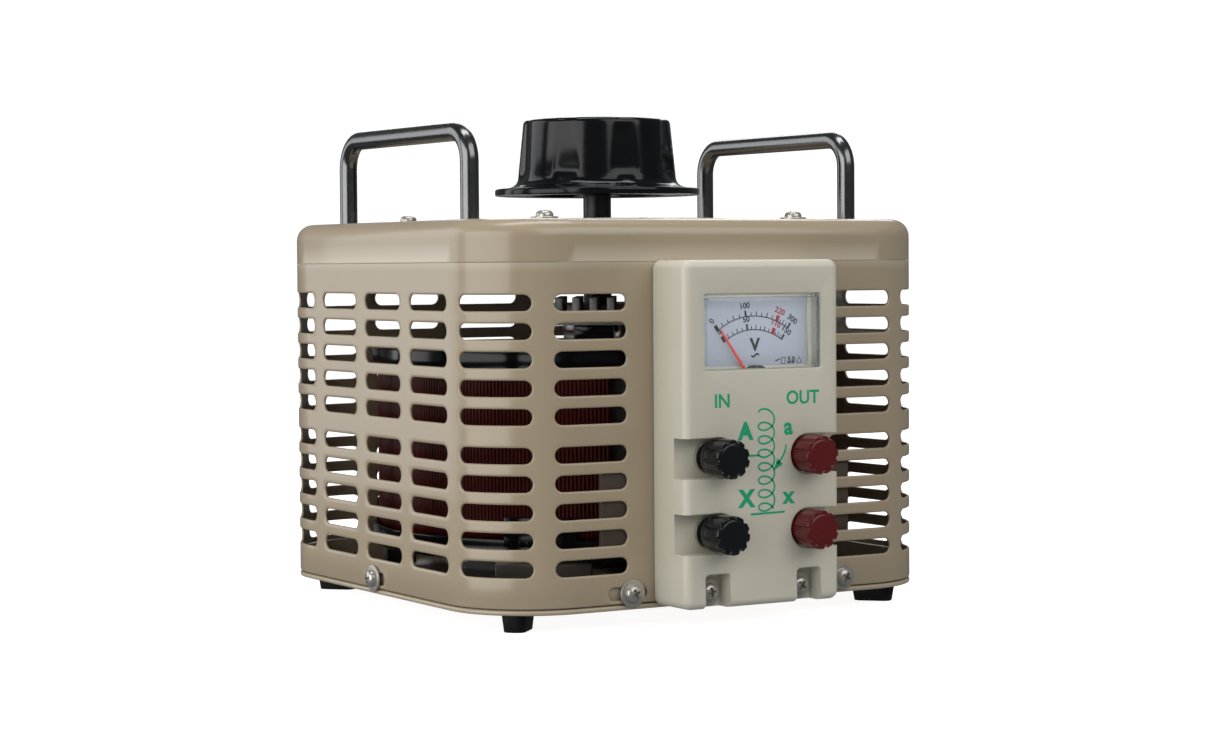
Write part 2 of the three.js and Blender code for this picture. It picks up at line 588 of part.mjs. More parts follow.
function frontPanel() {
  const { width, front, back, bottom, top, wall } = PANEL;
  const outer = panelOuter();
  const half = width / 2 - wall;
  const shell = cut(outer, frontBox(-half, half, back - 5, front - wall, bottom + wall, top - wall));
  const [blocks, spaces] = [[], []];
  for (const side of [-1, 1]) {
    for (const z of POST.z) {
      blocks.push(frontPrism(pocketShape(side, z, POCKET.wall), POCKET.floor - wall, front, 6));
      spaces.push(frontPrism(pocketShape(side, z, 0), POCKET.floor, front + 5, 6));
      spaces.push(forward(rod(POST.hole, back, front, 12)).translate(side * POST.x, 0, z));
    }
    blocks.push(frontPrism(notchShape(side, POCKET.wall), POCKET.floor - wall, front, 3));
    spaces.push(frontPrism(notchShape(side, 0), POCKET.floor, front + 5, 3));
    const hole = forward(rod(HEAD.shank + GAP, back, front, 10));
    spaces.push(hole.translate(side * NOTCH.x, 0, NOTCH.screwZ));
  }
  const [w, h] = [WINDOW.width / 2, WINDOW.height / 2];
  spaces.push(frontBox(-w, w, front - wall - 1, front + 1, WINDOW.z - h, WINDOW.z + h));
  return cut(join(shell, ...blocks.map((block) => overlap(block, outer))), ...spaces);
}

function postStud() {
  const { radius, nut, nutHeight, collar, collarHeight } = STUD;
  const [tail, nutBack, seat, tip] = [BOARD.back - 1.3, BOARD.front + GAP, POCKET.floor + GAP, POST.face - 2];
  return forward(turned([
    [0, tail], [radius, tail], [radius, nutBack], [nut, nutBack], [nut, nutBack + nutHeight],
    [radius, nutBack + nutHeight], [radius, seat], [collar, seat], [collar, seat + collarHeight],
    [radius, seat + collarHeight], [radius, tip], [0, tip],
  ], 10));
}

function postCap() {
  const { face, capBack, lobeBack, hole } = POST;
  const { count, radius, ripple } = LOBE;
  const points = [];
  for (let i = 0; i < count * 2; i++) {
    const angle = (i * Math.PI) / count;
    const r = radius + ripple * Math.cos(count * angle);
    points.push(new THREE.Vector2(r * Math.cos(angle), r * Math.sin(angle)));
  }
  const head = prism(new THREE.Shape(points), lobeBack - 0.5, face);
  const collar = rod(radius - GAP, capBack, lobeBack, 16);
  return forward(cut(join(head, collar), rod(hole, capBack - 1, face - 1.4, 10)));
}

function meterWindow() {
  const [w, h] = [WINDOW.width / 2 - GAP, WINDOW.height / 2 - GAP];
  const { back, front, wall, plate } = WINDOW;
  const tray = frontBox(-w, w, back, front, -h, h);
  return cut(tray, frontBox(-w + wall, w - wall, back - 1, front - plate, -h + wall, h - wall));
}

function needle() {
  const { reach, tail, front, thick } = NEEDLE;
  const corners = [[-0.7, -tail], [0.7, -tail], [0.25, reach], [-0.25, reach]];
  const blade = new THREE.Shape(corners.map(([x, z]) => new THREE.Vector2(x, z)));
  const hub = forward(rod(STAFF.hub, front - thick, front + 0.5, 16));
  return join(frontPrism(blade, front - thick, front), hub, forward(rod(STAFF.radius, STAFF.back, front, 8)));
}

function terminalBoard() {
  const { front, back, halfWide, halfNarrow, bottom, shoulder, top, hole } = BOARD;
  const shape = new THREE.Shape([
    [-halfWide, bottom], [halfWide, bottom], [halfWide, shoulder], [halfNarrow, shoulder],
    [halfNarrow, top], [-halfNarrow, top], [-halfNarrow, shoulder], [-halfWide, shoulder],
  ].map(([x, z]) => new THREE.Vector2(x, z)));
  const studs = POST.z.flatMap((z) => [[-POST.x, z], [POST.x, z]]);
  const ways = [...LEAD_WAYS, ...studs].map(([x, z]) => {
    return forward(rod(hole, back - 1, front + 1, 12)).translate(x, 0, z);
  });
  return cut(frontPrism(shape, back, front), ...ways);
}

function addPanel() {
  add("front_panel", frontPanel(), FINISH.ivoryPlastic);
  add("terminal_board", terminalBoard(), FINISH.phenolic);
  for (const [side, hand, colour] of [[-1, "left", FINISH.blackPlastic], [1, "right", FINISH.redPlastic]]) {
    POST.z.forEach((z, i) => {
      const level = ["lower", "upper"][i];
      const place = frontGroup(side * POST.x, z);
      add(`post_stud_${level}_${hand}`, postStud(), FINISH.brass, place);
      add(`post_cap_${level}_${hand}`, postCap(), colour, place);
    });
    const seat = frontGroup(side * NOTCH.x, NOTCH.screwZ);
    add("panel_screw_" + hand, forward(screw(12).translate(0, 0, POCKET.floor)), FINISH.zinc, seat);
  }
}

function addMeter() {
  const { width, bottom, top, front, back, wall } = HOUSING;
  const half = width / 2;
  const cup = cut(
    frontBox(-half, half, back, front, bottom, top),
    frontBox(-half + wall, half - wall, back + wall, front + 1, bottom + wall, top - wall),
  );
  const dialBack = DIAL.front - DIAL.thick;
  const dial = frontBox(-DIAL.width / 2, DIAL.width / 2, dialBack, DIAL.front, DIAL.bottom, DIAL.top);
  const staffWay = forward(rod(STAFF.way, dialBack - 1, DIAL.front + 1, 12)).translate(0, 0, NEEDLE.pivotZ);
  add("meter_housing", cup, FINISH.blackPlastic);
  add("meter_dial", cut(dial, staffWay), FINISH.dialPaper);
  add("meter_window", meterWindow(), FINISH.clear, frontGroup(0, WINDOW.z));
  const pivot = frontGroup(0, NEEDLE.pivotZ);
  const drum = forward(rod(MOVEMENT.radius, back + wall + GAP, MOVEMENT.front, 24));
  const coil = cut(drum, forward(rod(MOVEMENT.hole, STAFF.back - 2, MOVEMENT.front + 1, 12)));
  add("meter_movement", coil, FINISH.coreSteel, pivot);
  const pointer = add("meter_needle", needle(), FINISH.needleRed, pivot);
  pointer.rotation.y = THREE.MathUtils.degToRad(NEEDLE.rest);
}

addCase();
addTransformer();
addRotor();
addPanel();
addMeter();

export default group;
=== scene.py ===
"""A bench variac's looks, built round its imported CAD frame.

Shapes are given in millimetres about the knob's axis: x to the right, y to the back, z up from the floor.
"Forward" is the distance in front of that axis, which is minus y.
"""

import math

import bmesh
import bpy
import numpy as np
from mathutils import Matrix, Vector
from mathutils.geometry import delaunay_2d_cdt


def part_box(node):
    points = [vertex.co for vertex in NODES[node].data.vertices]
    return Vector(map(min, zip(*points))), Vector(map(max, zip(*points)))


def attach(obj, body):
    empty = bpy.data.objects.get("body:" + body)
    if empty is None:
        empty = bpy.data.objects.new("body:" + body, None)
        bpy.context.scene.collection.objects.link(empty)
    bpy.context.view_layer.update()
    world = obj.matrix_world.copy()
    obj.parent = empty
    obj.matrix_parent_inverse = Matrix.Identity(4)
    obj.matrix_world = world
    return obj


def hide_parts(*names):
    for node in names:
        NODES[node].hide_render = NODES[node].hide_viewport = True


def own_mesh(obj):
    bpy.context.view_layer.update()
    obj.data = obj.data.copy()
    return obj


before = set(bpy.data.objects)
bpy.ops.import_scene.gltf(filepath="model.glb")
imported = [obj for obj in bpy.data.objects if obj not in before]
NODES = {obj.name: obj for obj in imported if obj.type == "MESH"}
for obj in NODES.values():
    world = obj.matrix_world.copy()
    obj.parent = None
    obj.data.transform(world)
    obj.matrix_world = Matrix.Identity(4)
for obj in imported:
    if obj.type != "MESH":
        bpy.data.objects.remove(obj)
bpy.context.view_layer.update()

MM = 0.001
SHAFT_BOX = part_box("shaft")
AXIS_Y = (SHAFT_BOX[0].y + SHAFT_BOX[1].y) / 2

# ---- Dimensions, the same as the CAD source's ----
WIDTH, DEPTH, CORNER, WALL, EDGE = 216, 206, 37, 1.2, 7
WRAP_BOTTOM, SEAM, TOP, GAP = 10, 143.7, 160.8, 0.3
SLOT_LENGTH, SLOT_HEIGHT, ROW_PITCH, NEAREST, PER_HALF = 32, 6.3, 11, 64.2, 8
FIRST_ROW = 128.15
ROWS_PER_BLOCK, BLOCK_PITCH = 5, 58.9
REST_ANGLE, GAP_ANGLE, KNOB_TRAVEL = -122, -101, 318
HANDLE_X, HANDLE_LEG, HANDLE_ROD = 91.7, 55.5, 3.75
POST_X, POST_Z = 21, (37.8, 67.3)
PANEL_FRONT, PANEL_BACK, PANEL_BOTTOM, PANEL_TOP, PANEL_WIDTH = 126.7, 103.3, 8.6, 144.2, 73
POCKET_FLOOR, PANEL_SCREW_X = 118.2, 21.5
PIVOT_Z, WINDOW_Z, DIAL_FRONT = 93.7, 116.1, 119.4
SCREW_Z = 14  # the screws along the case's lower edge
INK = 0.08  # how far a printed mark stands off what it is printed on


# ---- Materials ----
def links(tree, *pairs):
    for a, b in pairs:
        tree.links.new(a, b)


def surface(name, color, rough, metallic=0.0, drift=0.08, patch=0.03, grain=0.0, grain_size=0.001,
            spread=0.04, stretch=(1, 1, 1), wear_and_highlight=None, **sockets):
    """A material whose colour drifts over patches, whose gloss varies and whose surface has a fine grain.

    patch, grain and grain_size are in metres. The edge colour tints its convex edges: wear on the cast metal,
    and on the beige paint a painted highlight along the slots' rolled lips.
    """
    mat = bpy.data.materials.new(name)
    mat.use_nodes = True
    tree = mat.node_tree
    bsdf = tree.nodes["Principled BSDF"]

    def new(kind, **values):
        node = tree.nodes.new(kind)
        for socket, value in values.items():
            node.inputs[socket.replace("_", " ")].default_value = value
        return node

    place = new("ShaderNodeTexCoord")
    stretched = new("ShaderNodeMapping", Scale=stretch)
    patches = new("ShaderNodeTexNoise", Scale=1 / patch, Detail=5)
    tone = new("ShaderNodeMix")
    tone.data_type = "RGBA"
    tone.inputs[6].default_value = (*[c * (1 - drift) for c in color], 1)
    tone.inputs[7].default_value = (*[min(1, c * (1 + drift)) for c in color], 1)
    gloss = new("ShaderNodeMapRange", To_Min=rough - spread, To_Max=rough + spread)
    fine = new("ShaderNodeTexNoise", Scale=1 / grain_size, Detail=3)
    bump = new("ShaderNodeBump", Strength=1, Distance=grain)
    links(tree, (place.outputs["Object"], stretched.inputs["Vector"]),
          (stretched.outputs[0], patches.inputs["Vector"]), (stretched.outputs[0], fine.inputs["Vector"]),
          (patches.outputs[0], tone.inputs[0]), (patches.outputs[0], gloss.inputs["Value"]),
          (gloss.outputs[0], bsdf.inputs["Roughness"]))
    if grain:
        links(tree, (fine.outputs[0], bump.inputs["Height"]), (bump.outputs[0], bsdf.inputs["Normal"]))
    out = tone.outputs[2]
    # Convex edges get their own colour: wear on cast metal, and a painted highlight on the paint's slot lips.
    if wear_and_highlight:
        edge_tint_from = 0.53  # the pointiness at which the edge colour starts to show: wear, and on the paint a painted highlight
        shape = new("ShaderNodeNewGeometry")
        convex = new("ShaderNodeMapRange", From_Min=edge_tint_from, From_Max=edge_tint_from + 0.08)
        edge = new("ShaderNodeMix")
        edge.data_type = "RGBA"
        edge.inputs[7].default_value = (*wear_and_highlight, 1)
        links(tree, (shape.outputs["Pointiness"], convex.inputs["Value"]),
              (convex.outputs[0], edge.inputs[0]), (out, edge.inputs[6]))
        out = edge.outputs[2]
    links(tree, (out, bsdf.inputs["Base Color"]))
    bsdf.inputs["Metallic"].default_value = metallic
    for socket, value in sockets.items():
        bsdf.inputs[socket.replace("_", " ")].default_value = value
    return mat


# The paint's lighter convex edges are a painted highlight, brightest along the slots' rolled lips.
PAINT = surface("beige_enamel", (0.38, 0.308, 0.212), 0.3, drift=0.012, patch=0.3, grain=0.00001,
                grain_size=0.003, spread=0.015, wear_and_highlight=(0.56, 0.49, 0.38), Coat_Weight=0.3, Coat_Roughness=0.06)
CHROME = surface("plated_rod", (0.17, 0.172, 0.175), 0.2, 1.0, drift=0.12, patch=0.006, grain=0.000006,
                 grain_size=0.0009, spread=0.05)
BLACK = surface("black_moulding", (0.0035, 0.004, 0.0055), 0.14, drift=0.3, patch=0.012, grain=0.000006,
                grain_size=0.0015, spread=0.03, Specular_IOR_Level=0.3)
CAP_BLACK = surface("black_cap_moulding", (0.0055, 0.0065, 0.0085), 0.2, drift=0.2, patch=0.006,
                    grain=0.000004, grain_size=0.0012, spread=0.03, Specular_IOR_Level=0.4)
CAP_RED = surface("red_cap_moulding", (0.115, 0.01, 0.011), 0.22, drift=0.12, patch=0.006, grain=0.000004,
                  grain_size=0.0012, spread=0.03, Specular_IOR_Level=0.4)
IVORY = surface("ivory_moulding", (0.63, 0.6, 0.5), 0.32, drift=0.025, patch=0.03, grain=0.000012,
                grain_size=0.0016, spread=0.05, Subsurface_Weight=0.12, Subsurface_Scale=0.004)
RUBBER = surface("foot_rubber", (0.006, 0.006, 0.007), 0.55, drift=0.3, patch=0.008, grain=0.00006,
                 grain_size=0.0012, Specular_IOR_Level=0.3)
SLEEVE = surface("lead_sleeving", (0.014, 0.013, 0.013), 0.5, drift=0.3, patch=0.006, grain=0.00005,
                 grain_size=0.0007, stretch=(1, 1, 3))
ZINC = surface("zinc_plate", (0.52, 0.5, 0.46), 0.3, 0.7, drift=0.16, patch=0.004, grain=0.00001,
               grain_size=0.0006, spread=0.08)
GALVANISED = surface("galvanised_sheet", (0.11, 0.1, 0.085), 0.42, 0.5, drift=0.25, patch=0.009,
                     grain=0.00002, grain_size=0.002, spread=0.1)
DARK_STEEL = surface("blackened_steel", (0.008, 0.008, 0.009), 0.32, 0.2, drift=0.25, patch=0.006,
                     grain=0.000012, grain_size=0.0005, stretch=(1, 1, 8))
BRASS = surface("turned_brass", (0.55, 0.4, 0.18), 0.3, 1.0, drift=0.15, patch=0.005, grain=0.00001,
                grain_size=0.0006, stretch=(1, 1, 6))
NICKEL = surface("nickelled_brass", (0.6, 0.58, 0.53), 0.25, 1.0, drift=0.1, patch=0.004, grain=0.000006,
                 grain_size=0.0006)
CAST = surface("cast_aluminium", (0.56, 0.56, 0.57), 0.46, 0.2, drift=0.18, patch=0.008, grain=0.00008,
               grain_size=0.0012, spread=0.1, wear_and_highlight=(0.5, 0.5, 0.5))
PLATE = surface("anodised_plate", (0.58, 0.59, 0.6), 0.38, 1.0, drift=0.05, patch=0.02, grain=0.000008,
                grain_size=0.0004, stretch=(1, 14, 1))
ENAMEL = surface("wire_enamel", (0.052, 0.0055, 0.0028), 0.32, drift=0.4, patch=0.006, grain=0.00001,
                 grain_size=0.0015, spread=0.08, Specular_IOR_Level=0.12)
COPPER = surface("bared_copper", (0.62, 0.27, 0.14), 0.3, 1.0, drift=0.25, patch=0.004, grain=0.00001,
                 grain_size=0.0005, spread=0.1)
CORE = surface("strip_steel", (0.09, 0.082, 0.075), 0.5, 0.6, drift=0.3, patch=0.004, grain=0.00012,
               grain_size=0.0004, stretch=(12, 12, 1))
CARBON = surface("pressed_carbon", (0.02, 0.02, 0.02), 0.6, drift=0.3, patch=0.002, grain=0.00003,
                 grain_size=0.0004)
BOARD = surface("paper_laminate", (0.06, 0.041, 0.029), 0.5, drift=0.25, patch=0.01, grain=0.00003,
                grain_size=0.0012, stretch=(1, 1, 4))
PAPER = surface("dial_enamel", (0.37, 0.4, 0.46), 0.6, drift=0.015, patch=0.02, grain=0.000008,
                grain_size=0.0008)
CLEAR = surface("clear_moulding", (0.95, 0.965, 0.98), 0.0, drift=0.01, patch=0.01, spread=0.0,
                Transmission_Weight=1.0, IOR=1.15, Coat_Weight=0.35, Coat_Roughness=0.02)
POINTER = surface("pointer_lacquer", (0.72, 0.03, 0.015), 0.4, drift=0.05, patch=0.01, grain=0.000005)
INK_BLACK = surface("black_ink", (0.01, 0.011, 0.014), 0.55, drift=0.2, patch=0.003)
INK_RED = surface("red_ink", (0.33, 0.012, 0.016), 0.55, drift=0.1, patch=0.003)
INK_GREEN = surface("green_ink", (0.004, 0.38, 0.175), 0.45, drift=0.12, patch=0.003)
INK_PALE = surface("pale_ink", (0.75, 0.74, 0.7), 0.5, drift=0.05, patch=0.003)


# ---- Shapes: each is a pair (points as an array in millimetres, faces) ----
def merged(*shells):
    points, faces, start = [], [], 0
    for p, f in shells:
        points.append(np.asarray(p, float))
        faces += [[i + start for i in face] for face in f]
        start += len(p)
    return np.vstack(points), faces


def bands(count, n):
    """The quads between consecutive ones of count loops, each of n points."""
    return [[i * n + j, i * n + (j + 1) % n, (i + 1) * n + (j + 1) % n, (i + 1) * n + j]
            for i in range(count - 1) for j in range(n)]


def grid(count, n):
    """The quads between consecutive ones of count open rows, each of n points."""
    return [[i * n + j, i * n + j + 1, (i + 1) * n + j + 1, (i + 1) * n + j]
            for i in range(count - 1) for j in range(n - 1)]


def loft(rings, closed=False):
    """The skin over loops of the same count, with flat ends unless it closes on itself."""
    n, count = len(rings[0]), len(rings)
    faces = []
    for i in range(count if closed else count - 1):
        a, b = i * n, (i + 1) % count * n
        faces += [[a + j, a + (j + 1) % n, b + (j + 1) % n, b + j] for j in range(n)]
    if not closed:
        faces += [list(range(n))[::-1], list(range((count - 1) * n, count * n))]
    return np.vstack(rings), faces


def filleted(corners, radius=0.3, steps=3, closed=True):
    """A polyline with its corners rounded."""
    corners = [np.array(c, float) for c in corners]
    out = []
    for i, p in enumerate(corners):
        if not closed and i in (0, len(corners) - 1):
            out.append(p)
            continue
        a, b = corners[i - 1] - p, corners[(i + 1) % len(corners)] - p
        la, lb = np.linalg.norm(a), np.linalg.norm(b)
        half = math.acos(np.clip(a @ b / la / lb, -1, 1)) / 2
        reach = min(radius / math.tan(half), 0.45 * la, 0.45 * lb) if half < 1.5 else 0
        if reach < 0.01:
            out.append(p)
            continue
        start, end = p + a / la * reach, p + b / lb * reach
        for t in np.linspace(0, 1, steps + 1):
            out.append((1 - t) ** 2 * start + 2 * t * (1 - t) * p + t * t * end)
    return out


def circle(radius, angles, z):
    """Points round the Z axis. radius may differ from one angle to the next."""
    return np.column_stack([radius * np.cos(angles), radius * np.sin(angles), np.full(len(angles), z)])


def turned(outline, steps=64, closed=False):
    """A body of revolution about Z from [radius, height] pairs."""
    angles = np.radians(np.linspace(0, 360, steps, endpoint=False))
    return loft([circle(r, angles, z) for r, z in outline], closed)


def rounded_rect(width, height, radius, per_corner=10, mid=(0, 0)):
    out = []
    for cx, cy, start in ((1, -1, -90), (1, 1, 0), (-1, 1, 90), (-1, -1, 180)):
        for t in np.radians(start + np.linspace(0, 90, per_corner + 1)):
            x = mid[0] + cx * (width / 2 - radius) + radius * math.cos(t)
            out.append([x, mid[1] + cy * (height / 2 - radius) + radius * math.sin(t)])
    return np.array(out)


def level(outline, z):
    return np.column_stack([outline, np.full(len(outline), float(z))])


def facing(shape, x=0.0, z=0.0):
    """Turns an upright shape so that its +Z points forward, its Y points up, and it stands at x, z."""
    p, faces = shape
    return np.column_stack([p[:, 0] + x, -p[:, 2], p[:, 1] + z]), faces


def spun(shape, degrees, shift=(0, 0, 0)):
    p, faces = shape
    a = math.radians(degrees)
    turn = np.array([[math.cos(a), -math.sin(a), 0], [math.sin(a), math.cos(a), 0], [0, 0, 1]])
    return p @ turn.T + np.array(shift, float), faces


def block(x0, x1, y0, y1, z0, z1):
    corners = np.array([[x0, y0], [x1, y0], [x1, y1], [x0, y1]], float)
    return loft([level(corners, z0), level(corners, z1)])


def prism(outline, z0, z1):
    return loft([level(np.array(outline), z0), level(np.array(outline), z1)])


def tube(path, radius, sides=16):
    path = np.asarray(path, float)
    along = np.gradient(path, axis=0)
    along /= np.linalg.norm(along, axis=1)[:, None]
    side = np.cross(along[0], [0.31, 0.17, 0.93])
    rings = []
    for p, t in zip(path, along):
        side = side - (side @ t) * t
        side /= np.linalg.norm(side)
        up = np.cross(t, side)
        a = np.linspace(0, 2 * np.pi, sides, endpoint=False)[:, None]
        rings.append(p + radius * (np.cos(a) * side + np.sin(a) * up))
    return loft(rings)


def smooth_path(points, steps=10):
    """A Catmull-Rom line through the points."""
    before, after = 2 * np.array(points[0]) - points[1], 2 * np.array(points[-1]) - points[-2]
    p = np.array([before, *points, after], float)
    out = []
    for i in range(1, len(p) - 2):
        for t in np.linspace(0, 1, steps, endpoint=False):
            out.append(0.5 * (2 * p[i] + (p[i + 1] - p[i - 1]) * t
                              + (2 * p[i - 1] - 5 * p[i] + 4 * p[i + 1] - p[i + 2]) * t * t
                              + (3 * p[i] - p[i - 1] - 3 * p[i + 1] + p[i + 2]) * t ** 3))
    return np.array([*out, p[-2]])


def to_mesh(name, shape, scale=1.0, shift=(0, 0, 0)):
    p, faces = shape
    mesh = bpy.data.meshes.new(name)
    mesh.from_pydata((np.asarray(p) * scale + np.array(shift)).tolist(), [], [list(f) for f in faces])
    bm = bmesh.new()
    bm.from_mesh(mesh)
    bmesh.ops.remove_doubles(bm, verts=bm.verts, dist=1e-4 * scale)
    bmesh.ops.recalc_face_normals(bm, faces=bm.faces)
    bm.to_mesh(mesh)
    bm.free()
    return mesh


def combined(body, tools):
    """body with the tools cut away from it."""
    link = bpy.context.scene.collection.objects.link
    held = bpy.data.objects.new("held", to_mesh("held", body))
    link(held)
    for tool in tools:
        cutter = bpy.data.objects.new("cutter", to_mesh("cutter", tool))
        link(cutter)
        step = held.modifiers.new("step", "BOOLEAN")
        step.operation, step.solver, step.object = "DIFFERENCE", "EXACT", cutter
    bpy.context.view_layer.update()
    made = bpy.data.meshes.new_from_object(held.evaluated_get(bpy.context.evaluated_depsgraph_get()))
    points = np.array([v.co for v in made.vertices])
    faces = [list(f.vertices) for f in made.polygons]
    for o in [m.object for m in held.modifiers] + [held]:
        bpy.data.objects.remove(o)
    return points, faces


def piece(name, shape, material, body="case", stands_for=(), sharp=38, flat=False):
    """Makes one visible piece. shape may be a mesh that several pieces share, with its place as a matrix."""
    if isinstance(shape, tuple) and isinstance(shape[0], bpy.types.Mesh):
        obj = bpy.data.objects.new(name, shape[0])
        obj.matrix_world = shape[1]
    else:
        mesh = to_mesh(name, shape, MM, (0, AXIS_Y, 0))
        if not flat:
            mesh.shade_smooth()
            mesh.set_sharp_from_angle(angle=math.radians(sharp))
        obj = bpy.data.objects.new(name, mesh)
    if not obj.data.materials:
        obj.data.materials.append(material)
    bpy.context.scene.collection.objects.link(obj)
    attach(obj, body)
    if stands_for:
        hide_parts(*stands_for)
    return obj


def soften(obj, width, segments=2):
    """Rounds an object's sharp edges."""
    obj.data.shade_smooth()
    obj.data.set_sharp_from_angle(angle=math.radians(35))
    weld = obj.modifiers.new("weld", "WELD")
    weld.merge_threshold = 1e-6
    bevel = obj.modifiers.new("bevel", "BEVEL")
    bevel.width, bevel.segments, bevel.limit_method = width * MM, segments, "ANGLE"
    bevel.angle_limit = math.radians(50)
    bevel.harden_normals = True


def wear(node, material):
    """Gives a carried CAD node its material."""
    node.data.materials.clear()
    node.data.materials.append(material)


# ---- Camera, floor and light ----
def camera():
    data = bpy.data.cameras.new("camera")
    data.sensor_width, data.lens = 36, 79.34
    data.clip_start, data.clip_end = 0.01, 50
    obj = bpy.data.objects.new("camera", data)
    bpy.context.scene.collection.objects.link(obj)
    turn, pitch, roll = (math.radians(a) for a in (30.88, 2.36, -0.395))
    ahead = Vector((math.sin(turn) * math.cos(pitch), math.cos(turn) * math.cos(pitch), -math.sin(pitch)))
    right = Vector((math.cos(turn), -math.sin(turn), 0))
    up = right.cross(ahead)
    level_right = right * math.cos(roll) + up * math.sin(roll)
    level_up = -right * math.sin(roll) + up * math.cos(roll)
    axes = Matrix((level_right, level_up, -ahead)).transposed().to_4x4()
    obj.matrix_world = Matrix.Translation((-0.5888, -0.9902 + AXIS_Y, 0.14246)) @ axes
    bpy.context.scene.camera = obj


def lamp(name, place, size, power, color=(1, 1, 1)):
    """A soft rectangular lamp that faces the middle of the object."""
    aim = (0, 0, 0.09)
    data = bpy.data.lights.new(name, "AREA")
    data.shape, data.size, data.size_y, data.energy, data.color = "RECTANGLE", size[0], size[1], power, color
    obj = bpy.data.objects.new(name, data)
    obj.location = place
    obj.rotation_mode = "QUATERNION"
    obj.rotation_quaternion = (Vector(aim) - Vector(place)).to_track_quat("-Z", "Y")
    bpy.context.scene.collection.objects.link(obj)


def studio():
    """A pale floor that curves up into a wall, in metres, with the world's light and the lamps."""
    reach, bend, height = 2.4, 1.1, 2.2
    tone = surface("studio_floor", (0.5, 0.5, 0.5), 0.8, drift=0.01, patch=0.4)
    sockets = tone.node_tree.nodes["Principled BSDF"].inputs
    sockets["Emission Color"].default_value = (1, 1, 1, 1)
    sockets["Emission Strength"].default_value = 0.9
    turns = np.linspace(0, math.pi / 2, 12)
    sweep = [[reach + bend * math.sin(t), bend * (1 - math.cos(t))] for t in turns]
    floor = turned([[0.001, 0], [reach, 0]], 96)
    wall = turned([*sweep, [reach + bend, height]], 96)
    for name, (p, faces) in (("floor", floor), ("backdrop", wall)):
        mesh = bpy.data.meshes.new(name)
        mesh.from_pydata(p.tolist(), [], [f for f in faces if len(f) == 4])
        mesh.shade_smooth()
        mesh.materials.append(tone)
        obj = bpy.data.objects.new(name, mesh)
        bpy.context.scene.collection.objects.link(obj)
        obj.visible_diffuse = obj.visible_glossy = False
    world = bpy.data.worlds.new("world")
    bpy.context.scene.world = world
    world.use_nodes = True
    background = world.node_tree.nodes["Background"]
    background.inputs["Color"].default_value = (0.95, 0.97, 1.0, 1)
    ray = world.node_tree.nodes.new("ShaderNodeLightPath")
    strength = world.node_tree.nodes.new("ShaderNodeMapRange")
    strength.inputs["To Min"].default_value = 0.3
    strength.inputs["To Max"].default_value = 0.12
    links(world.node_tree, (ray.outputs["Is Glossy Ray"], strength.inputs["Value"]),
          (strength.outputs[0], background.inputs["Strength"]))
    lamp("key", (-1.75, -0.25, 0.35), (2.0, 1.5), 25, (1.0, 0.99, 0.97))
    lamp("front", (0.35, -1.6, 1.2), (2.0, 1.2), 16, (1.0, 0.99, 0.965))
    lamp("top", (0.0, 0.0, 1.5), (1.3, 0.4), 8)
    lamp("back", (0.9, 1.3, 1.1), (1.0, 0.8), 7)
    lamp("sheen", (-1.3, 1.5, 0.55), (1.2, 1.4), 9)
    bpy.context.scene.view_settings.view_transform = "Standard"


# ---- Shell ----
def around(along, out):
    """Points of the shell's outer surface: along is the way round from the front's middle, out is off it."""
    along, out = np.broadcast_arrays(np.asarray(along, float), np.asarray(out, float))
    fx, fy, arc = WIDTH / 2 - CORNER, DEPTH - 2 * CORNER, math.pi / 2 * CORNER
    half = 2 * fx + fy + 2 * arc
    wrapped = (along + half) % (2 * half) - half
    side, s = np.where(wrapped < 0, -1, 1), np.abs(wrapped)
    a1 = np.clip(s - fx, 0, arc) / CORNER
    a2 = np.clip(s - fx - arc - fy, 0, arc) / CORNER
    angle = a1 + a2 - math.pi / 2
    cx = np.minimum(s, fx) - np.clip(s - fx - fy - 2 * arc, 0, None)
    cy = -fy / 2 + np.clip(s - fx - arc, 0, fy)
    r = CORNER + out
    return side * (cx + r * np.cos(angle)), cy + r * np.sin(angle)


# A slot's rolled edge: how far each loop stands back from the opening, and its height off the outer surface
LIP_REACH = 0.8
LIP = [(LIP_REACH, 0.0), (0.5, -0.05), (0.25, -0.16), (0.08, -0.34), (0.0, -0.6), (0.05, -0.9), (0.2, -1.1),
       (0.45, -1.2)]


def obround(length, height, straight=8, bend=8):
    """A slot's outline from its upper left, clockwise, and the way out of the slot at each point."""
    r, a = height / 2, (length - height) / 2
    points, normals = [], []
    for side in (1, -1):
        for i in range(straight):
            points.append([side * (-a + 2 * a * i / straight), side * r])
            normals.append([0, side])
        for i in range(bend):
            t = math.pi * i / bend
            normals.append([side * math.sin(t), side * math.cos(t)])
            points.append([side * (a + r * math.sin(t)), side * r * math.cos(t)])
    return np.array(points), np.array(normals)


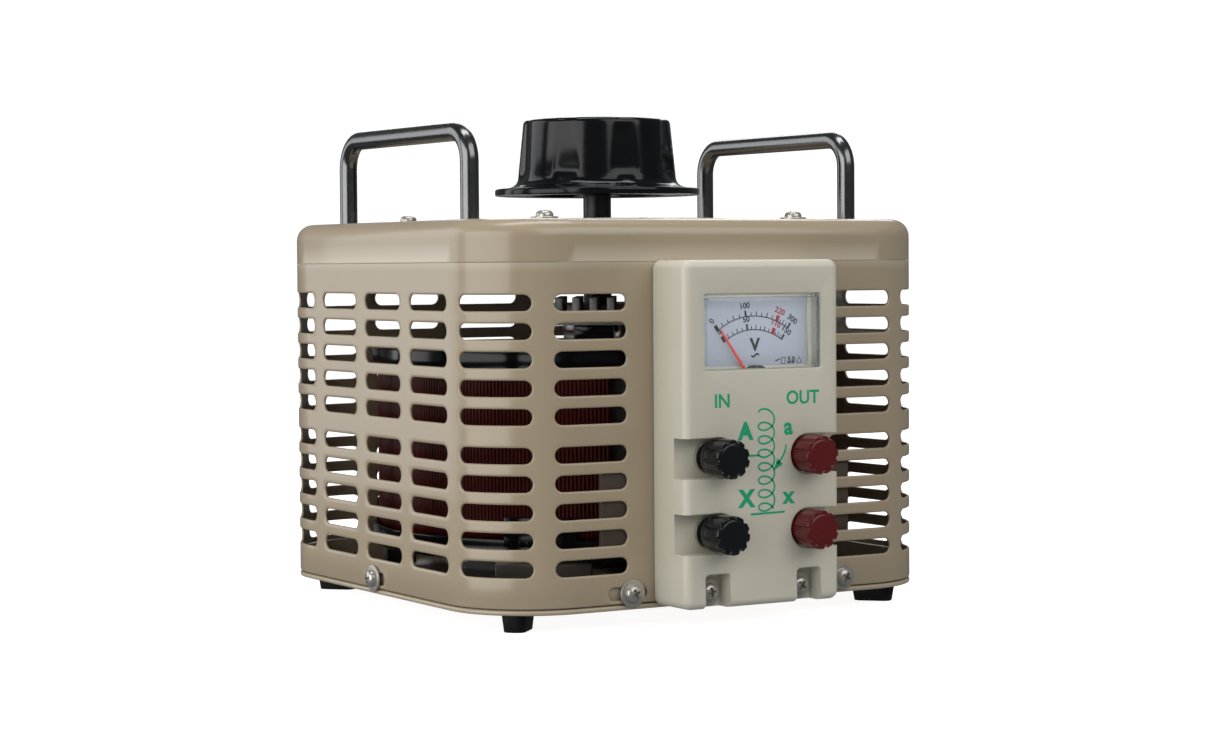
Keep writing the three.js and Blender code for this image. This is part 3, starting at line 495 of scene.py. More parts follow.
def shell_wrap():
    """The slotted wrap, made flat as (way round, height, depth) points and then folded round the case."""
    half_round = WIDTH - 2 * CORNER + DEPTH - 2 * CORNER + math.pi * CORNER
    step = (half_round - NEAREST) / PER_HALF
    columns = [NEAREST + k * step for k in range(2 * PER_HALF + 1)]
    upper = [FIRST_ROW - i * ROW_PITCH for i in range(ROWS_PER_BLOCK)]
    rows = upper + [z - BLOCK_PITCH for z in upper]
    straight = (SLOT_LENGTH - SLOT_HEIGHT) / 2
    middle = (straight + step / 2) / 2
    evenly = np.linspace(-straight, straight, 9)
    across = [-step / 2, -middle, *evenly, middle]
    ring, normal = obround(SLOT_LENGTH, SLOT_HEIGHT)
    outer = []
    for side in (1, -1):
        outer += [[side * x, side * ROW_PITCH / 2] for x in evenly]
        outer += [[side * middle, side * ROW_PITCH / 2], [side * step / 2, side * ROW_PITCH / 2]]
        outer += [[side * step / 2, side * ROW_PITCH * t] for t in (0.25, 0, -0.25)]
        outer += [[side * step / 2, -side * ROW_PITCH / 2], [side * middle, -side * ROW_PITCH / 2]]
    outer = np.array(outer)
    loops = [(outer, 0.0), ((outer + ring + normal * LIP_REACH) / 2, 0.0)]
    loops += [(ring + normal * grow, depth) for grow, depth in LIP]
    loops += [((outer + ring + normal * 0.45) / 2, -WALL), (outer, -WALL)]
    flat, faces = [], []

    def add(points, new_faces):
        start = len(flat)
        flat.extend(points)
        faces.extend([[i + start for i in f] for f in new_faces])

    cell = bands(len(loops), len(ring))
    for u in columns:
        for z in rows:
            add([(u + x, z + y, d) for loop, d in loops for x, y in loop], cell)

    def sheet(us, zs):
        for d in (0.0, -WALL):
            add([(u, z, d) for z in zs for u in us], grid(len(zs), len(us)))

    def rim(path):
        depths = (0.0, -0.25, -WALL + 0.25, -WALL)
        add([(u, z, d) for d in depths for u, z in path], grid(len(depths), len(path)))

    start, end = columns[0] - step / 2, columns[-1] + step / 2
    across_all = [u + x for u in columns for x in across] + [end]
    edge_levels = [z + ROW_PITCH * t for z in rows for t in (0.5, 0.25, 0, -0.25, -0.5)]
    # The opening in the front, which the panel covers
    opening, lintel, front_start = 32, 140, end - 2 * half_round
    front = [front_start, -38, -opening, -16, 0, 16, opening, 38, start]
    sheet(across_all, [upper[-1] - ROW_PITCH / 2, rows[len(upper)] + ROW_PITCH / 2])
    sheet(across_all, [SEAM, lintel, rows[0] + ROW_PITCH / 2])
    sheet(front, [SEAM, lintel])
    sill = rows[-1] - ROW_PITCH / 2
    levels = sorted(set(np.round([lintel, *edge_levels], 4)), reverse=True)
    sheet(front[:3], levels)
    sheet(front[6:], levels)
    for u in (-opening, opening):
        rim([(u, z) for z in levels])
    for z in (lintel, sill):
        rim([(u, z) for u in front[2:7]])
    # The band along the bottom, with the slots that the base is screwed through
    cut = columns[-2] + step / 2
    every = front[:-1] + across_all
    everywhere = sorted({round(u - 2 * half_round, 5) for u in every if u > cut - 0.001}
                        | {round(u, 5) for u in every if u < cut + 0.001})
    lower_edge = WRAP_BOTTOM + 0.5
    quarter = half_round / 2
    screws_at = [-48.4, 48.4, quarter, half_round, 2 * half_round - quarter]
    hole_length, hole_height, patch = 17.4, 5, 14
    hole, hole_normal = obround(hole_length, hole_height, 6, 8)
    half_straight, clear = (hole_length - hole_height) / 2, hole_height / 2 + 0.75
    covered = []
    for s in screws_at:
        us = [u for u in everywhere if s - patch < u < s + patch]
        covered.append((us[0], us[-1]))
        rect = [(u, sill) for u in us] + [(u, lower_edge) for u in us[::-1]]
        grown = [(s + x, SCREW_Z + y) for x, y in hole + hole_normal * LIP_REACH]
        first = len(rect)
        rims = [(i, (i + 1) % first) for i in range(first)]
        rims += [(first + i, first + (i + 1) % len(grown)) for i in range(len(grown))]
        web, _, triangles, *_ = delaunay_2d_cdt([Vector(p) for p in rect + grown], rims, [], 0, 1e-6)

        def outside_hole(triangle):
            u, z = sum((web[i] for i in triangle), Vector((0, 0))) / 3
            return math.hypot(max(abs(u - s) - half_straight, 0), z - SCREW_Z) > clear

        kept = [t for t in triangles if outside_hole(t)]
        for d in (0.0, -WALL):
            add([(p.x, p.y, d) for p in web], kept)
        rings = [(hole + hole_normal * g, d) for g, d in [(LIP_REACH, 0.0), *LIP, (LIP_REACH, -WALL)]]
        add([(s + x, SCREW_Z + y, d) for loop, d in rings for x, y in loop], bands(len(rings), len(hole)))
    for a, b in zip(everywhere, everywhere[1:]):
        if not any(lo - 1e-6 <= a and b <= hi + 1e-6 for lo, hi in covered):
            sheet([a, b], [sill, lower_edge])
    # The sheet's own edge: rounded at the bottom, plain under the cap
    for z, down in ((lower_edge, -0.5), (SEAM, 0.0)):
        profile = [(0.0, 0.0), (-0.15, down * 0.6), (-0.5, down), (-0.8, down), (-1.05, down * 0.6),
                   (-WALL, 0.0)]
        add([(u, z + dz, d) for d, dz in profile for u in everywhere], grid(len(profile), len(everywhere)))
    flat = np.array(flat)
    x, y = around(flat[:, 0], flat[:, 2])
    piece("wrap", (np.column_stack([x, y, flat[:, 1]]), faces), PAINT,
          stands_for=["shell_wrap"], sharp=50)


def shell_loop(inset, z):
    """The case's outline, drawn in by inset."""
    return level(rounded_rect(WIDTH - 2 * inset, DEPTH - 2 * inset, CORNER - inset, 14), z)


def shell_cap():
    """The case's top, whose lip hangs behind the seam."""
    bottom, lip, hole = SEAM + 0.08, 139, 8

    def profile(inset, top, edge):
        steps = [math.radians(a) for a in np.linspace(0, 90, 9)]
        return [(inset + edge * (1 - math.cos(t)), top - edge + edge * math.sin(t)) for t in steps]

    near, far = WALL + 0.1, WALL + 1.3
    outside = [(near, lip), (near, bottom), (0.1, bottom), (0, bottom + 0.1), (0, bottom + 0.5),
               (0, TOP - EDGE - 0.5), *profile(0, TOP, EDGE)]
    inside = [(far, lip), (far, bottom + 1), (WALL, bottom + 2), *profile(WALL, TOP - WALL, EDGE - WALL)]
    rings = [shell_loop(i, z) for i, z in outside]
    last = rings[-1]
    angles = np.arctan2(last[:, 1], last[:, 0])
    for radius, z in ((60, TOP), (hole + 0.3, TOP), (hole, TOP - 0.3), (hole, TOP - WALL), (60, TOP - WALL)):
        rings.append(circle(radius, angles, z))
    rings += [shell_loop(i, z) for i, z in inside[::-1]]
    piece("cap", loft(rings, closed=True), PAINT, stands_for=["shell_cap"], sharp=50)


def base():
    """The tray under the case, whose upright rim stands inside the wrap."""
    z, rim_top = 7.5, 20
    rim = WALL + GAP
    rings = [shell_loop(i, h) for i, h in (
        (0.8, z), (0.25, z + 0.15), (0, z + 0.6), (0, z + 1.4), (0.25, z + 1.85), (0.8, z + 2),
        (rim + 0.4, z + 2), (rim, z + 2.4), (rim, rim_top - 0.4), (rim + 0.4, rim_top), (rim + 1.1, rim_top),
        (rim + 1.5, rim_top - 0.4), (rim + 1.5, z + 3), (rim + 2.5, z + 2))]
    piece("base", loft(rings), PAINT, stands_for=["base_plate"], sharp=50)


def handles():
    height, bend, leg = 39, 12, HANDLE_LEG
    top = TOP + height - HANDLE_ROD
    line = [[-leg, z] for z in np.linspace(TOP - 8, top - bend, 6)]
    line += [[-leg + bend - bend * math.cos(t), top - bend + bend * math.sin(t)]
             for t in np.linspace(0.12, math.pi / 2, 12)]
    far_side = [[-y, z] for y, z in line[::-1]]
    line += [[y, top] for y in np.linspace(-leg + bend, leg - bend, 8)[1:-1]] + far_side
    for side, name in ((-1, "left"), (1, "right")):
        bar = tube([[side * HANDLE_X, y, z] for y, z in line], HANDLE_ROD, 32)
        piece("carry_handle_" + name, bar, CHROME, stands_for=["handle_" + name], sharp=60)


def screw_mesh():
    """A pan-head screw with a cross recess and a plain washer, seated on z = 0 and facing +Z."""
    washer = filleted([[2.2, GAP], [5.5, GAP], [5.5, GAP + 1], [2.2, GAP + 1]], 0.3)
    head = [[3.6, 1.3], [3.6, 1.9], [3.45, 2.6], [3.05, 3.2], [2.4, 3.6], [1.6, 3.82], [0.8, 3.9], [0.3, 3.9]]
    dome = turned([[2, -6], [2, 1.3], *head], 40)
    arms = []
    for angle in (0, 90):
        deep, wide = (np.array([[-x, -y], [x, -y], [x, y], [-x, y]]) for x, y in ((1.2, 0.36), (2.3, 0.6)))
        arms.append(spun(loft([level(deep, 1.8), level(wide, 4.2)]), angle))
    dome = combined(dome, arms)
    shape = merged(dome, turned(washer, 40, closed=True))
    mesh = to_mesh("screw", shape, MM)
    mesh.shade_smooth()
    mesh.set_sharp_from_angle(angle=math.radians(30))
    mesh.materials.append(ZINC)
    return mesh


def screws():
    """The cap's, the shell's and the panel's screws, which share one mesh."""
    mesh = screw_mesh()
    on_cap = 60.5

    def place(x, y, z, tilt, spin, roll):
        shift = Matrix.Translation((x * MM, y * MM + AXIS_Y, z * MM))
        turn = Matrix.Rotation(math.radians(spin), 4, "Z") @ Matrix.Rotation(math.radians(tilt), 4, "X")
        return shift @ turn @ Matrix.Rotation(math.radians(roll), 4, "Z")

    rows = []
    for i, (x, y) in enumerate(((-1, -1), (1, -1), (-1, 1), (1, 1))):
        name = ("front_left", "front_right", "back_left", "back_right")[i]
        rows.append(("cap_screw_" + name, x * on_cap, y * on_cap, TOP, 0, 0, 20 + 31 * i))
    x, y = WIDTH / 2, DEPTH / 2
    for name, px, py, spin, roll in (
            ("front_left", -46.8, -y, 0, 24), ("front_right", 54.4, -y, 0, 61), ("left", -x, 0, -90, 12),
            ("right", x, 0, 90, 40), ("back", 0, y, 180, 75)):
        rows.append(("shell_screw_" + name, px, py, SCREW_Z, 90, spin, roll))
    for side, name in ((-1, "left"), (1, "right")):
        rows.append(("panel_screw_" + name, side * PANEL_SCREW_X, -POCKET_FLOOR, 14.5, 90, 0, 30 + 20 * side))
    for name, px, py, pz, tilt, spin, roll in rows:
        piece(name + "_fixing", (mesh, place(px, py, pz, tilt, spin, roll)), ZINC,
              stands_for=[name])


def feet():
    for name in ("front_left", "front_right", "back_left", "back_right"):
        node = NODES["foot_" + name]
        soften(node, 0.7, 3)
        wear(node, RUBBER)


# ---- Transformer ----
def winding():
    """The turns, as one skin that dips a little between each turn and the next."""
    turns, per_turn, dip = 330, 6, 0.62
    inner, outer, low, high, bend = 55.5, 95, 32, 106, 3.5
    section = filleted([[outer, low], [outer, high], [inner, high], [inner, low]], bend, 5)
    dense = []
    for a, b in zip(section, section[1:] + section[:1]):
        count = max(1, int(np.linalg.norm(b - a) / 9))
        dense += [a + (b - a) * t for t in np.linspace(0, 1, count, endpoint=False)]
    dense = np.array(dense)
    inward = np.array([(inner + outer) / 2, (low + high) / 2]) - dense
    inward = np.sign(inward) * np.where(np.abs(inward) > np.array([16.1, 33.1]), 1, 0)
    inward = inward / np.maximum(np.linalg.norm(inward, axis=1), 1)[:, None]
    start, sweep = GAP_ANGLE + 17, 326
    count = turns * per_turn
    angles = np.radians(start + sweep * np.arange(count + 1) / count)
    rise = np.abs(np.sin(np.pi * turns * np.arange(count + 1) / count))
    hollow = dip * (1 - rise ** 0.6)
    rings = []
    for angle, h in zip(angles, hollow):
        p = dense + inward * h
        rings.append(np.column_stack([p[:, 0] * math.cos(angle), p[:, 0] * math.sin(angle), p[:, 1]]))
    obj = piece("turns", loft(rings), ENAMEL, stands_for=["winding"], sharp=80)
    obj.data.materials.append(COPPER)  # for the bared track that the brush runs on
    for face in obj.data.polygons:
        c = face.center
        reach = math.hypot(c.x, c.y - AXIS_Y) / MM
        if c.z > 105.2 * MM and 65 < reach < 81:
            face.material_index = 1


def end_rings():
    outer, lip, seat, wall = 97.3, 6, 106.3, 95.3
    upper = filleted([[outer, seat - lip], [outer, seat + 2.3], [86, seat + 2.3], [86, seat], [wall, seat],
                      [wall, seat - lip]], 0.8, 4)
    piece("brush_side_ring", turned(upper, 180, closed=True), BLACK,
          stands_for=["upper_ring"])
    seat, bottom = 31.7, 24.5
    lower = filleted([[outer, bottom], [outer, seat + 1.5], [wall, seat + 1.5], [wall, seat], [60, seat],
                      [60, bottom]], 0.6, 3)
    tabs, tab_top, span = [], 42, math.degrees(15 / outer)
    section = filleted([[outer, seat - 2], [outer, tab_top], [wall, tab_top], [wall, seat - 2]], 0.5, 2)
    for angle in (45, 135, 225, 315):
        sweep = np.radians(np.linspace(angle - span, angle + span, 13))
        rings = [np.array([[r * math.cos(t), r * math.sin(t), z] for r, z in section]) for t in sweep]
        tabs.append(loft(rings))
    piece("floor_side_ring", merged(turned(lower, 180, closed=True), *tabs), BLACK,
          stands_for=["lower_ring"])


def leads():
    routes = {
        "lead_input": [[-21, -108, 60], [-21, -105, 53], [-21, -98, 52], [-29, -93.5, 52], [-37, -89, 52]],
        "lead_common": [[-12, -107, 38], [-4, -106, 41], [0, -101, 44], [1.5, -96, 45], [3, -93.5, 48]],
        "lead_output": [[36, 0, 12], [38, -30, 12], [34, -70, 12.5], [31, -90, 18], [30, -100, 23.5],
                        [30.5, -107, 29], [31, -109, 45], [28, -108, 62]],
    }
    for name, points in routes.items():
        piece(name + "_sleeve", tube(smooth_path(points), 1.5, 14), SLEEVE,
              stands_for=[name], sharp=60)


def carried():
    """Materials and rounded edges for the CAD nodes that are shown as they are."""
    table = {
        "coil_stand": (GALVANISED, 0.4), "toroid_core": (CORE, 0.6), "hub_tube": (CAST, 0.4),
        "bearing_lower": (BRASS, 0.2), "bearing_upper": (BRASS, 0.2), "clamp_disc": (BOARD, 0.3),
        "clamp_nut": (ZINC, 0.4), "stop_pin": (ZINC, 0.3), "collector_finger": (BRASS, 0.2),
        "knob_screw": (ZINC, 0.2), "collector_ring": (BRASS, 0.4), "stop_arm": (ZINC, 0.3),
        "brush_arm": (CAST, 0.35), "brush_holder": (BLACK, 0.5), "carbon_brush": (CARBON, 0.3),
        "terminal_board": (BOARD, 0.25), "meter_housing": (BLACK, 0.5), "meter_dial": (PAPER, 0.0),
        "meter_movement": (CORE, 0.4), "meter_needle": (POINTER, 0.0),
    }
    for name, (material, width) in table.items():
        wear(NODES[name], material)
        if width:
            soften(NODES[name], width)


def brush_spring():
    """The spring over the brush, which on the real thing shortens as the brush is pushed up against it; here
    it is one fixed helix that turns with the rotor.
    """
    low, high = (corner.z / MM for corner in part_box("brush_spring"))
    wire, coils, outside, reach, travel = 0.32, 3.5, 2.2, 73, 3
    middle = [reach * math.cos(math.radians(REST_ANGLE)), reach * math.sin(math.radians(REST_ANGLE))]
    line = [[middle[0] + (outside - wire) * math.cos(2 * math.pi * coils * t),
             middle[1] + (outside - wire) * math.sin(2 * math.pi * coils * t),
             low + wire + (high - low - 2 * wire) * t] for t in np.linspace(0, 1, 90)]
    spring = piece("brush_helix", tube(line, wire, 10), ZINC, "rotor", ["brush_spring"],
                   sharp=60)
    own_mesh(spring)


# ---- Knob and shaft ----
def knob():
    bottom, top, flange, body, crown = 172.3, 204.8, 44, 34, 31.7
    waist, waist_up = 34.05, 7.2  # where the grip starts, and its height over the flange's underside
    low = [(flange - 0.6, 0), (flange - 0.1, 0.25), (flange, 0.9), (flange, 2.2), (flange - 0.25, 2.7),
           (flange - 0.9, 2.95), (42, 3.05), (40, 3.2), (38.6, 3.4), (37.2, 3.75), (36, 4.3), (35, 5.1),
           (34.4, 6.1), (waist, waist_up)]
    side = [[r, bottom + up] for r, up in low]
    for t in np.linspace(0, 1, 14)[1:]:
        side.append([waist - (waist - crown) * t, bottom + waist_up + (top - 2.2 - bottom - waist_up) * t])
    high = [(crown - 0.15, 1.3), (crown - 0.6, 0.6), (crown - 1.4, 0.15), (crown - 2.6, 0), (26, 0.1),
            (25.4, 0.5), (18, 0.9), (8, 1.0), (0.5, 1.0)]
    side += [[r, top - down] for r, down in high]
    below = [[0.5, 196], [6.3, 196], [6.3, bottom + 0.3], [6.6, bottom], [10, bottom], [10, 201], [27.5, 201],
             [28.9, bottom + 1], [29.3, bottom]]
    flutes, radius, depth, blend = 8, 20, 1.5, 0.25
    angles = np.linspace(0, 2 * np.pi, 384, endpoint=False)
    # nearest is 0 at a land's middle, and off is the angle from a flute's middle
    nearest = ((angles - math.radians(REST_ANGLE)) * flutes / (2 * np.pi) + 0.5) % 1 - 0.5
    off = (np.abs(np.abs(nearest) - 0.5)) * 2 * np.pi / flutes
    rings = []
    for r, z in side:
        lean = (z - bottom) * math.tan(math.radians(2.9))
        centre = body - depth + radius - lean
        sag = centre * np.sin(off)
        reach = centre * np.cos(off) - np.sqrt(np.maximum(radius ** 2 - sag ** 2, 0.01))
        reach = np.where(np.abs(sag) < radius, reach, 99)
        arch = max(0, (bottom + 10.5 - z) / 4.6) ** 2 * 2.2
        reach = reach + arch
        cut_to = r  # the flange and the top's middle stay round
        if z > top - 0.9:
            if r > 26.5:
                cut_to = np.minimum(r, reach - (crown - r))
        elif z >= bottom + 3.3:
            gap = reach - r
            cut_to = r + np.where(gap < blend, np.where(gap < -blend, gap, -(blend - gap) ** 2), 0)
        rings.append(circle(cut_to, angles, z))
    rings += [circle(r, angles, z) for r, z in below]
    piece("knob_moulding", loft(rings, closed=True), BLACK, "rotor", ["knob"], sharp=50)
    mark = spun(block(14, 24, -0.7, 0.7, top - 1.5, top - 0.75), REST_ANGLE)
    piece("knob_index", mark, INK_PALE, "rotor", flat=True)


def shaft():
    low, high, radius = 11.5, 193.5, 6
    outline = [[0.5, low], [radius - 0.5, low], [radius, low + 0.5], [radius, 150], [radius, high - 0.5],
               [radius - 0.5, high], [0.5, high]]
    piece("spindle", turned(outline, 64), DARK_STEEL, "rotor", ["shaft"])


# ---- Printed marks: thin solid strips and letters ----
def strip(points, width, closed=False, taper=None):
    """A flat strip along a line in x, y. taper gives its width at each point instead."""
    p = np.array(points, float)
    ahead = np.roll(p, -1, 0) - np.roll(p, 1, 0) if closed else np.gradient(p, axis=0)
    ahead /= np.linalg.norm(ahead, axis=1)[:, None]
    side = np.column_stack([-ahead[:, 1], ahead[:, 0]])
    half = (np.full(len(p), width / 2) if taper is None else np.array(taper) / 2)[:, None]
    left, right = p + side * half, p - side * half
    rings = [np.array([[*a, 0], [*b, 0], [*b, INK], [*a, INK]]) for a, b in zip(left, right)]
    return loft(rings, closed)


def letters(text, size, x, y, degrees=0.0, bold=0.0, height=INK):
    """Text in the plane z = 0, centred on x, y, size being the height of its capitals."""
    data = bpy.data.curves.new("text", "FONT")
    data.body, data.size, data.offset, data.extrude = text, 1.0, bold, 0.04
    data.align_x, data.align_y, data.resolution_u = "CENTER", "CENTER", 4
    obj = bpy.data.objects.new("text", data)
    bpy.context.scene.collection.objects.link(obj)
    bpy.context.view_layer.update()
    made = bpy.data.meshes.new_from_object(obj.evaluated_get(bpy.context.evaluated_depsgraph_get()))
    p = np.array([v.co for v in made.vertices])
    faces = [list(f.vertices) for f in made.polygons]
    bpy.data.objects.remove(obj)
    p[:, :2] *= size / 0.7
    p[:, 2] = np.where(p[:, 2] > 0, height, 0)
    return spun((p, faces), degrees, (x, y, 0))


def arc(radius, start, stop, count=40):
    """A line round (0, 0), its angles measured clockwise from upright."""
    return [[radius * math.sin(math.radians(a)), radius * math.cos(math.radians(a))]
            for a in np.linspace(start, stop, count)]


def tick(angle, inner, outer, width):
    c = [math.sin(math.radians(angle)), math.cos(math.radians(angle))]
    return strip([[inner * c[0], inner * c[1]], [outer * c[0], outer * c[1]]], width)


def meter_scale():
    """Two scales on uneven steps, the unit and the small marks under them, and the rim round the dial."""
    black, red = [], []
    volts, angles, full = (0, 100, 220, 300), (-35.7, -7, 22.9, 34.8), 220
    for radius, label in ((28.3, (0, 100, 220, 300)), (23.0, (0, 50, 110, 150))):
        black.append(strip(arc(radius, angles[0], angles[-1]), 0.36))
        for v in [*range(20, 300, 20), 240, 260, 280]:
            if v not in volts:
                angle = float(np.interp(v, volts, angles))
                black.append(tick(angle, radius, radius + (1.8 if v % 40 else 1.4), 0.32))
        for v, a, text in zip(volts, angles, label):
            ink = red if v == full else black
            ink.append(tick(a, radius - 0.1, radius + 2.4, 1.5 if v in (0, full) else 0.8))
            reach = radius + (4.2 if v else 4.4)
            x, y = reach * math.sin(math.radians(a)), reach * math.cos(math.radians(a))
            ink.append(letters(str(text), 2.25 if v else 1.9, x, y, -a, 0.02))
    unit, wave, small = 110.6 - PIVOT_Z, 106.7 - PIVOT_Z, 104.6 - PIVOT_Z
    black += [
        letters("V", 4.8, 0.6, unit, 0, 0.035),
        strip([[0.6 + 1.8 * t, wave + 0.55 * math.sin(math.pi * t)] for t in np.linspace(-1, 1, 18)], 0.7),
        strip([[11.2 + 1.1 * t, small + 0.3 * math.sin(math.pi * t)] for t in np.linspace(-1, 1, 12)], 0.42),
        strip([[13.2, small - 0.9], [13.2, small + 0.9], [14.8, small + 0.9], [14.8, small - 0.9]], 0.36,
              True),
        letters("5.0", 2.0, 17.8, small, 0, 0.03),
        strip([[20.5, small - 0.8], [21.5, small + 0.9], [22.5, small - 0.8]], 0.36, True),
    ]
    for name, shapes, ink in (("scale_black", black, INK_BLACK), ("scale_red", red, INK_RED)):
        p, faces = facing(merged(*shapes), 0, PIVOT_Z)
        p[:, 1] -= DIAL_FRONT
        piece(name, (p, faces), ink, flat=True)
    near, far, radius = DIAL_FRONT + 0.75, DIAL_FRONT + 1.4, 9.7
    boss = filleted([[0.5, near], [radius, near], [radius, far], [0.5, far]], 0.2, 2, closed=False)
    piece("scale_boss", facing(turned(boss, 48), 0, PIVOT_Z), CAP_BLACK)
    loops = [rounded_rect(w, h, 0.6, 3, (0, WINDOW_Z)) for w, h in ((58, 32.6), (54.3, 29.1), (50.8, 26.4))]
    near, far, rim = DIAL_FRONT + 0.1, DIAL_FRONT + 0.65, 124.1
    surround = loft([level(loops[0], near), level(loops[0], rim), level(loops[1], rim), level(loops[1], far),
                     level(loops[2], far), level(loops[2], near)], closed=True)
    piece("scale_surround", facing(surround), IVORY)


def meter_window():
    """The clear cover: a face with bevelled edges, hollow from behind."""
    w, h, front, back = 54, 28.8, 127.4, 122.3

    def ring_at(inset, f, radius=0.8):
        return level(rounded_rect(w - 2 * inset, h - 2 * inset, max(0.25, radius - inset * 0.3), 3), f)

    outer = [ring_at(0, back), ring_at(0, front - 1.5), ring_at(0.15, front - 1.1),
             ring_at(1.9, front - 0.12), ring_at(2.3, front)]
    inner = [ring_at(1.3, front - 1.6), ring_at(1.3, back)]
    n = len(outer[0])
    start = len(outer) * n  # the first point of the hollow
    faces = bands(len(outer), n)
    faces += [[i + start for i in face] for face in bands(len(inner), n)]
    faces += [[start + n + k, start + n + (k + 1) % n, (k + 1) % n, k] for k in range(n)]
    faces += [list(range(start - n, start)), list(range(start, start + n))[::-1]]
    piece("meter_glazing", facing((np.vstack(outer + inner), faces), 0, WINDOW_Z), CLEAR,
          stands_for=["meter_window"], sharp=15)


def panel_print():
    """The winding's symbol with its tapping arrow, and the letters at the posts."""
    z_top, z_low, loops = 84.2, 45.6, 7
    t = np.linspace(0.15, 2 * math.pi * loops + 2.6, 260)
    pitch = (z_top - z_low) / (loops + 0.3)
    coil = np.column_stack([1.1 - 3.8 * np.cos(t), z_top - pitch * t / (2 * math.pi) + 2.75 * np.sin(t)])
    coil = coil[coil[:, 1] > 44.7]
    arrow = [[10.4 - 4.2 * s * s, 71.4 - 7.6 * s] for s in np.linspace(0, 1, 10)]
    head = [[7.6, 64.9], [4.4, 61.3]]
    shapes = [
        strip(coil, 0.7), strip([[-6.4, 44.6], [9.7, 44.9]], 0.8),
        strip([[-12.6, 67.6], [-2.2, 67.6]], 0.75), strip(arrow, 0.75), strip(head, 1, taper=[3.6, 0.1]),
        letters("A", 6.4, -8.7, 77, 0, 0.05), letters("a", 6.4, 11.6, 78.3, 0, 0.035),
        letters("X", 6.4, -8.3, 50.6, 0, 0.05), letters("x", 6.4, 11.6, 51.0, 0, 0.04),
        letters("IN", 5.2, -19.5, 89.2, 0, 0.02), letters("OUT", 5.2, 18.5, 89.6, 0, 0.02),
    ]
    p, faces = facing(merged(*shapes))
    p[:, 1] -= PANEL_FRONT
    piece("panel_print", (p, faces), INK_GREEN, flat=True)


def dial_plate():
    seat, thick = TOP + GAP, 0.8
    plate = filleted([[9, seat], [58, seat], [58, seat + thick], [9, seat + thick]], 0.2, 2)
    piece("volt_plate", turned(plate, 128, closed=True), PLATE, stands_for=["dial_plate"])
    marks, full, inner, number_at, ink = [], 250, 45.6, 52.6, 0.06
    for volts in range(0, full + 1, 5):
        angle = REST_ANGLE - KNOB_TRAVEL * volts / full
        main = volts % 50 == 0
        long = 3.6 if main else 2.6 if volts % 10 == 0 else 1.6
        marks.append(spun(block(inner, inner + long, -0.14, 0.14, 0, ink), angle))
        if main or volts % 20 == 0:
            text = letters(str(volts), 2.5 if main else 1.9, 0, 0, 0, 0.01, ink)
            marks.append(spun(text, angle - 90, (
                number_at * math.cos(math.radians(angle)), number_at * math.sin(math.radians(angle)), 0)))
    p, faces = merged(*marks)
    p[:, 2] += seat + thick
    piece("volt_scale", (p, faces), INK_BLACK, flat=True)


# ---- Front panel ----
def pocket_outline(side, z, grow=0.0):
    """A wire pocket's outline round a post, open at the panel's side."""
    r = 7.9 + grow
    x, outside = side * POST_X, side * (PANEL_WIDTH / 2 + 5)
    bend = [[x - side * r * math.sin(t), z + r * math.cos(t)] for t in np.linspace(0, math.pi, 25)]
    return [[outside, z + r], *bend, [outside, z - r]]


def front_panel():
    edge, high = 3.2, PANEL_TOP - PANEL_BOTTOM
    mid = (PANEL_TOP + PANEL_BOTTOM) / 2

    def ring_at(inset, f):
        corner = max(0.4, 3.6 - inset)
        return level(rounded_rect(PANEL_WIDTH - 2 * inset, high - 2 * inset, corner, 6, (0, mid)), f)

    fold = [(edge * (1 - math.cos(t)), PANEL_FRONT - edge + edge * math.sin(t))
            for t in np.linspace(0, math.pi / 2, 8)]
    outer = loft([ring_at(0.3, PANEL_BACK), ring_at(0, PANEL_BACK + 0.4), *[ring_at(i, f) for i, f in fold]])
    wall, around_pocket, front = 2.5, 2.2, PANEL_FRONT
    half, low, top = PANEL_WIDTH / 2 - wall, PANEL_BOTTOM + wall, PANEL_TOP - wall
    cavity = prism([[-half, low], [half, low], [half, top], [-half, top]], PANEL_BACK - 5, front - wall)
    solids, spaces = [], []
    for side in (-1, 1):
        notch, grown = (rounded_rect(11.7 + 2 * g, 23.4 + 2 * g, 2 + g, 6, (side * PANEL_SCREW_X, 22 - 11.7))
                        for g in (0, around_pocket))
        for z in POST_Z:
            solids.append(prism(pocket_outline(side, z, around_pocket), POCKET_FLOOR - wall, front + 2))
            spaces.append(prism(pocket_outline(side, z), POCKET_FLOOR, front + 5))
            bore, faces = turned([[2.8, 90], [2.8, 130]], 24)
            spaces.append((bore + np.array([side * POST_X, z, 0]), faces))
        solids.append(prism(grown, POCKET_FLOOR - wall, front + 2))
        spaces.append(prism(notch, POCKET_FLOOR, front + 5))
    window = prism(rounded_rect(54.6, 29.4, 0.6, 2, (0, WINDOW_Z)), front - wall - 1, front + 2)
    cavity = combined(cavity, solids)
    shape = combined(outer, [cavity, *spaces, window])
    mesh = to_mesh("panel_moulding", facing(shape), MM, (0, AXIS_Y, 0))
    bm = bmesh.new()
    bm.from_mesh(mesh)
    plane = -PANEL_FRONT * MM + AXIS_Y
    chosen = [e for e in bm.edges if len(e.link_faces) == 2 and e.calc_face_angle(0) > 1.0
              and all(abs(v.co.y - plane) < 2e-6 for v in e.verts)]
    bmesh.ops.bevel(bm, geom=chosen, offset=0.7 * MM, offset_type="OFFSET", segments=3, profile=0.5,
                    affect="EDGES", clamp_overlap=False)
    bm.to_mesh(mesh)
    bm.free()
    mesh.shade_smooth()
    mesh.set_sharp_from_angle(angle=math.radians(35))
    piece("panel_moulding", (mesh, Matrix.Identity(4)), IVORY, stands_for=["front_panel"])


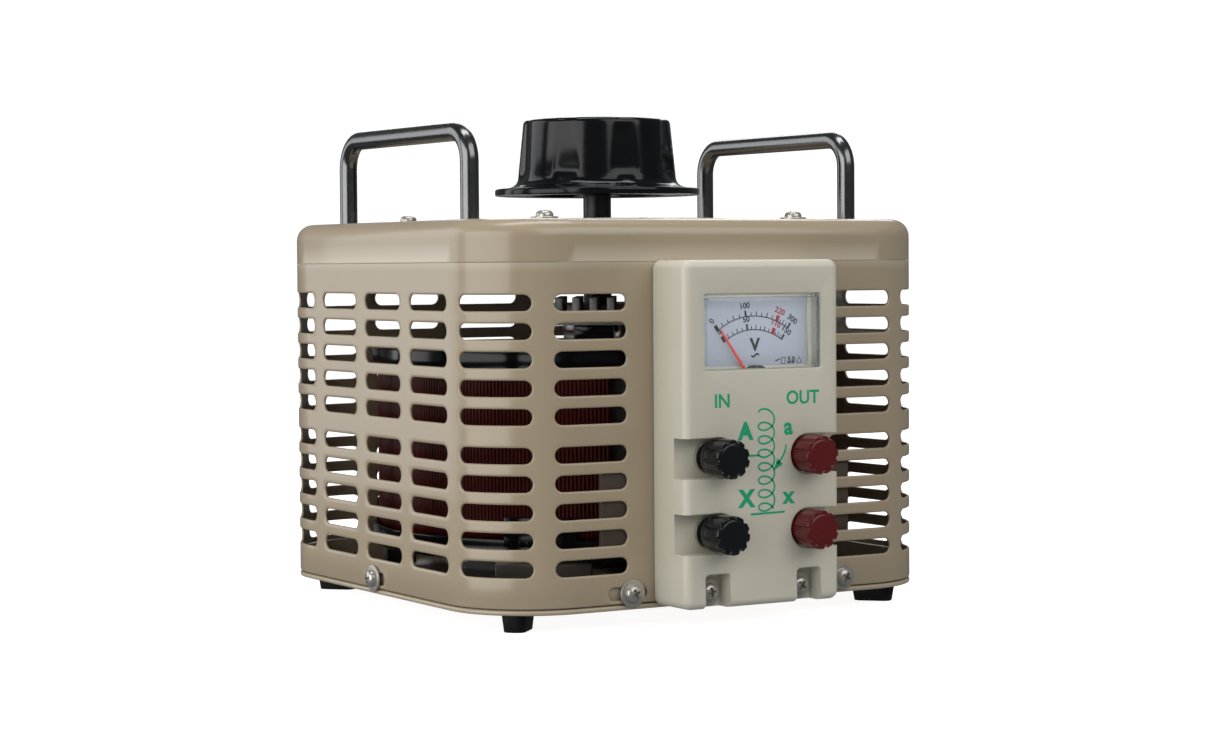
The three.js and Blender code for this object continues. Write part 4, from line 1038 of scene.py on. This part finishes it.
def posts():
    cap, thread = cap_shape(), 2.5
    stud = filleted([[0.4, 97.4], [thread, 97.4], [thread, 101.6], [4.5, 101.6], [4.5, 104.8],
                     [thread, 104.8], [thread, 118.5], [6.6, 118.5], [6.6, 120.2], [thread, 120.2],
                     [thread, 135], [0.4, 135]], 0.2, 2, closed=False)
    for side, hand, ink, slot in (
            (-1, "left", CAP_BLACK, "black_plastic"), (1, "right", CAP_RED, "red_plastic")):
        for z, height in zip(POST_Z, ("lower", "upper")):
            name = f"{height}_{hand}"
            p, faces = spun(cap, 11 * side + z)
            piece("grip_" + name, facing((p, faces), side * POST_X, z), ink, f"post_cap_{name}_body",
                  ["post_cap_" + name], sharp=45)
            piece("stud_" + name, facing(turned(stud, 40), side * POST_X, z), NICKEL,
                  stands_for=["post_stud_" + name])


def cap_shape():
    """A binding post's cap along Z: a round collar, then a lobed grip with a flat face, hollow behind."""
    lobes = 10
    angles = np.linspace(0, 2 * np.pi, 240, endpoint=False)
    groove = np.clip(np.cos(lobes * angles) * 2.2 + 1.0, -1, 0.7)
    # Radius, height and how much of the lobes' depth shows there
    rows = [(6.5, 123.8, 0), (7.0, 124.0, 0), (7.15, 124.4, 0), (7.2, 125.6, 0), (7.25, 126.8, 0),
            (7.3, 127.4, 0.25), (7.35, 128.0, 0.7), (7.35, 128.8, 1), (7.35, 131, 1), (7.35, 134, 1),
            (7.35, 136.2, 1), (7.25, 136.65, 1), (7.0, 136.9, 0.95), (6.5, 136.75, 0.5), (6.1, 136.7, 0),
            (5.9, 136.85, 0), (5.7, 137.0, 0), (5.3, 137.0, 0), (0.02, 137.0, 0), (0.02, 135.6, 0),
            (2.8, 135.6, 0), (2.8, 124.1, 0), (3.1, 123.8, 0)]
    return loft([circle(r + 0.5 * lobe * groove, angles, z) for r, z, lobe in rows], closed=True)


camera()
studio()
shell_wrap()
shell_cap()
base()
handles()
screws()
feet()
winding()
end_rings()
leads()
carried()
brush_spring()
knob()
shaft()
front_panel()
posts()
meter_scale()
meter_window()
panel_print()
dial_plate()
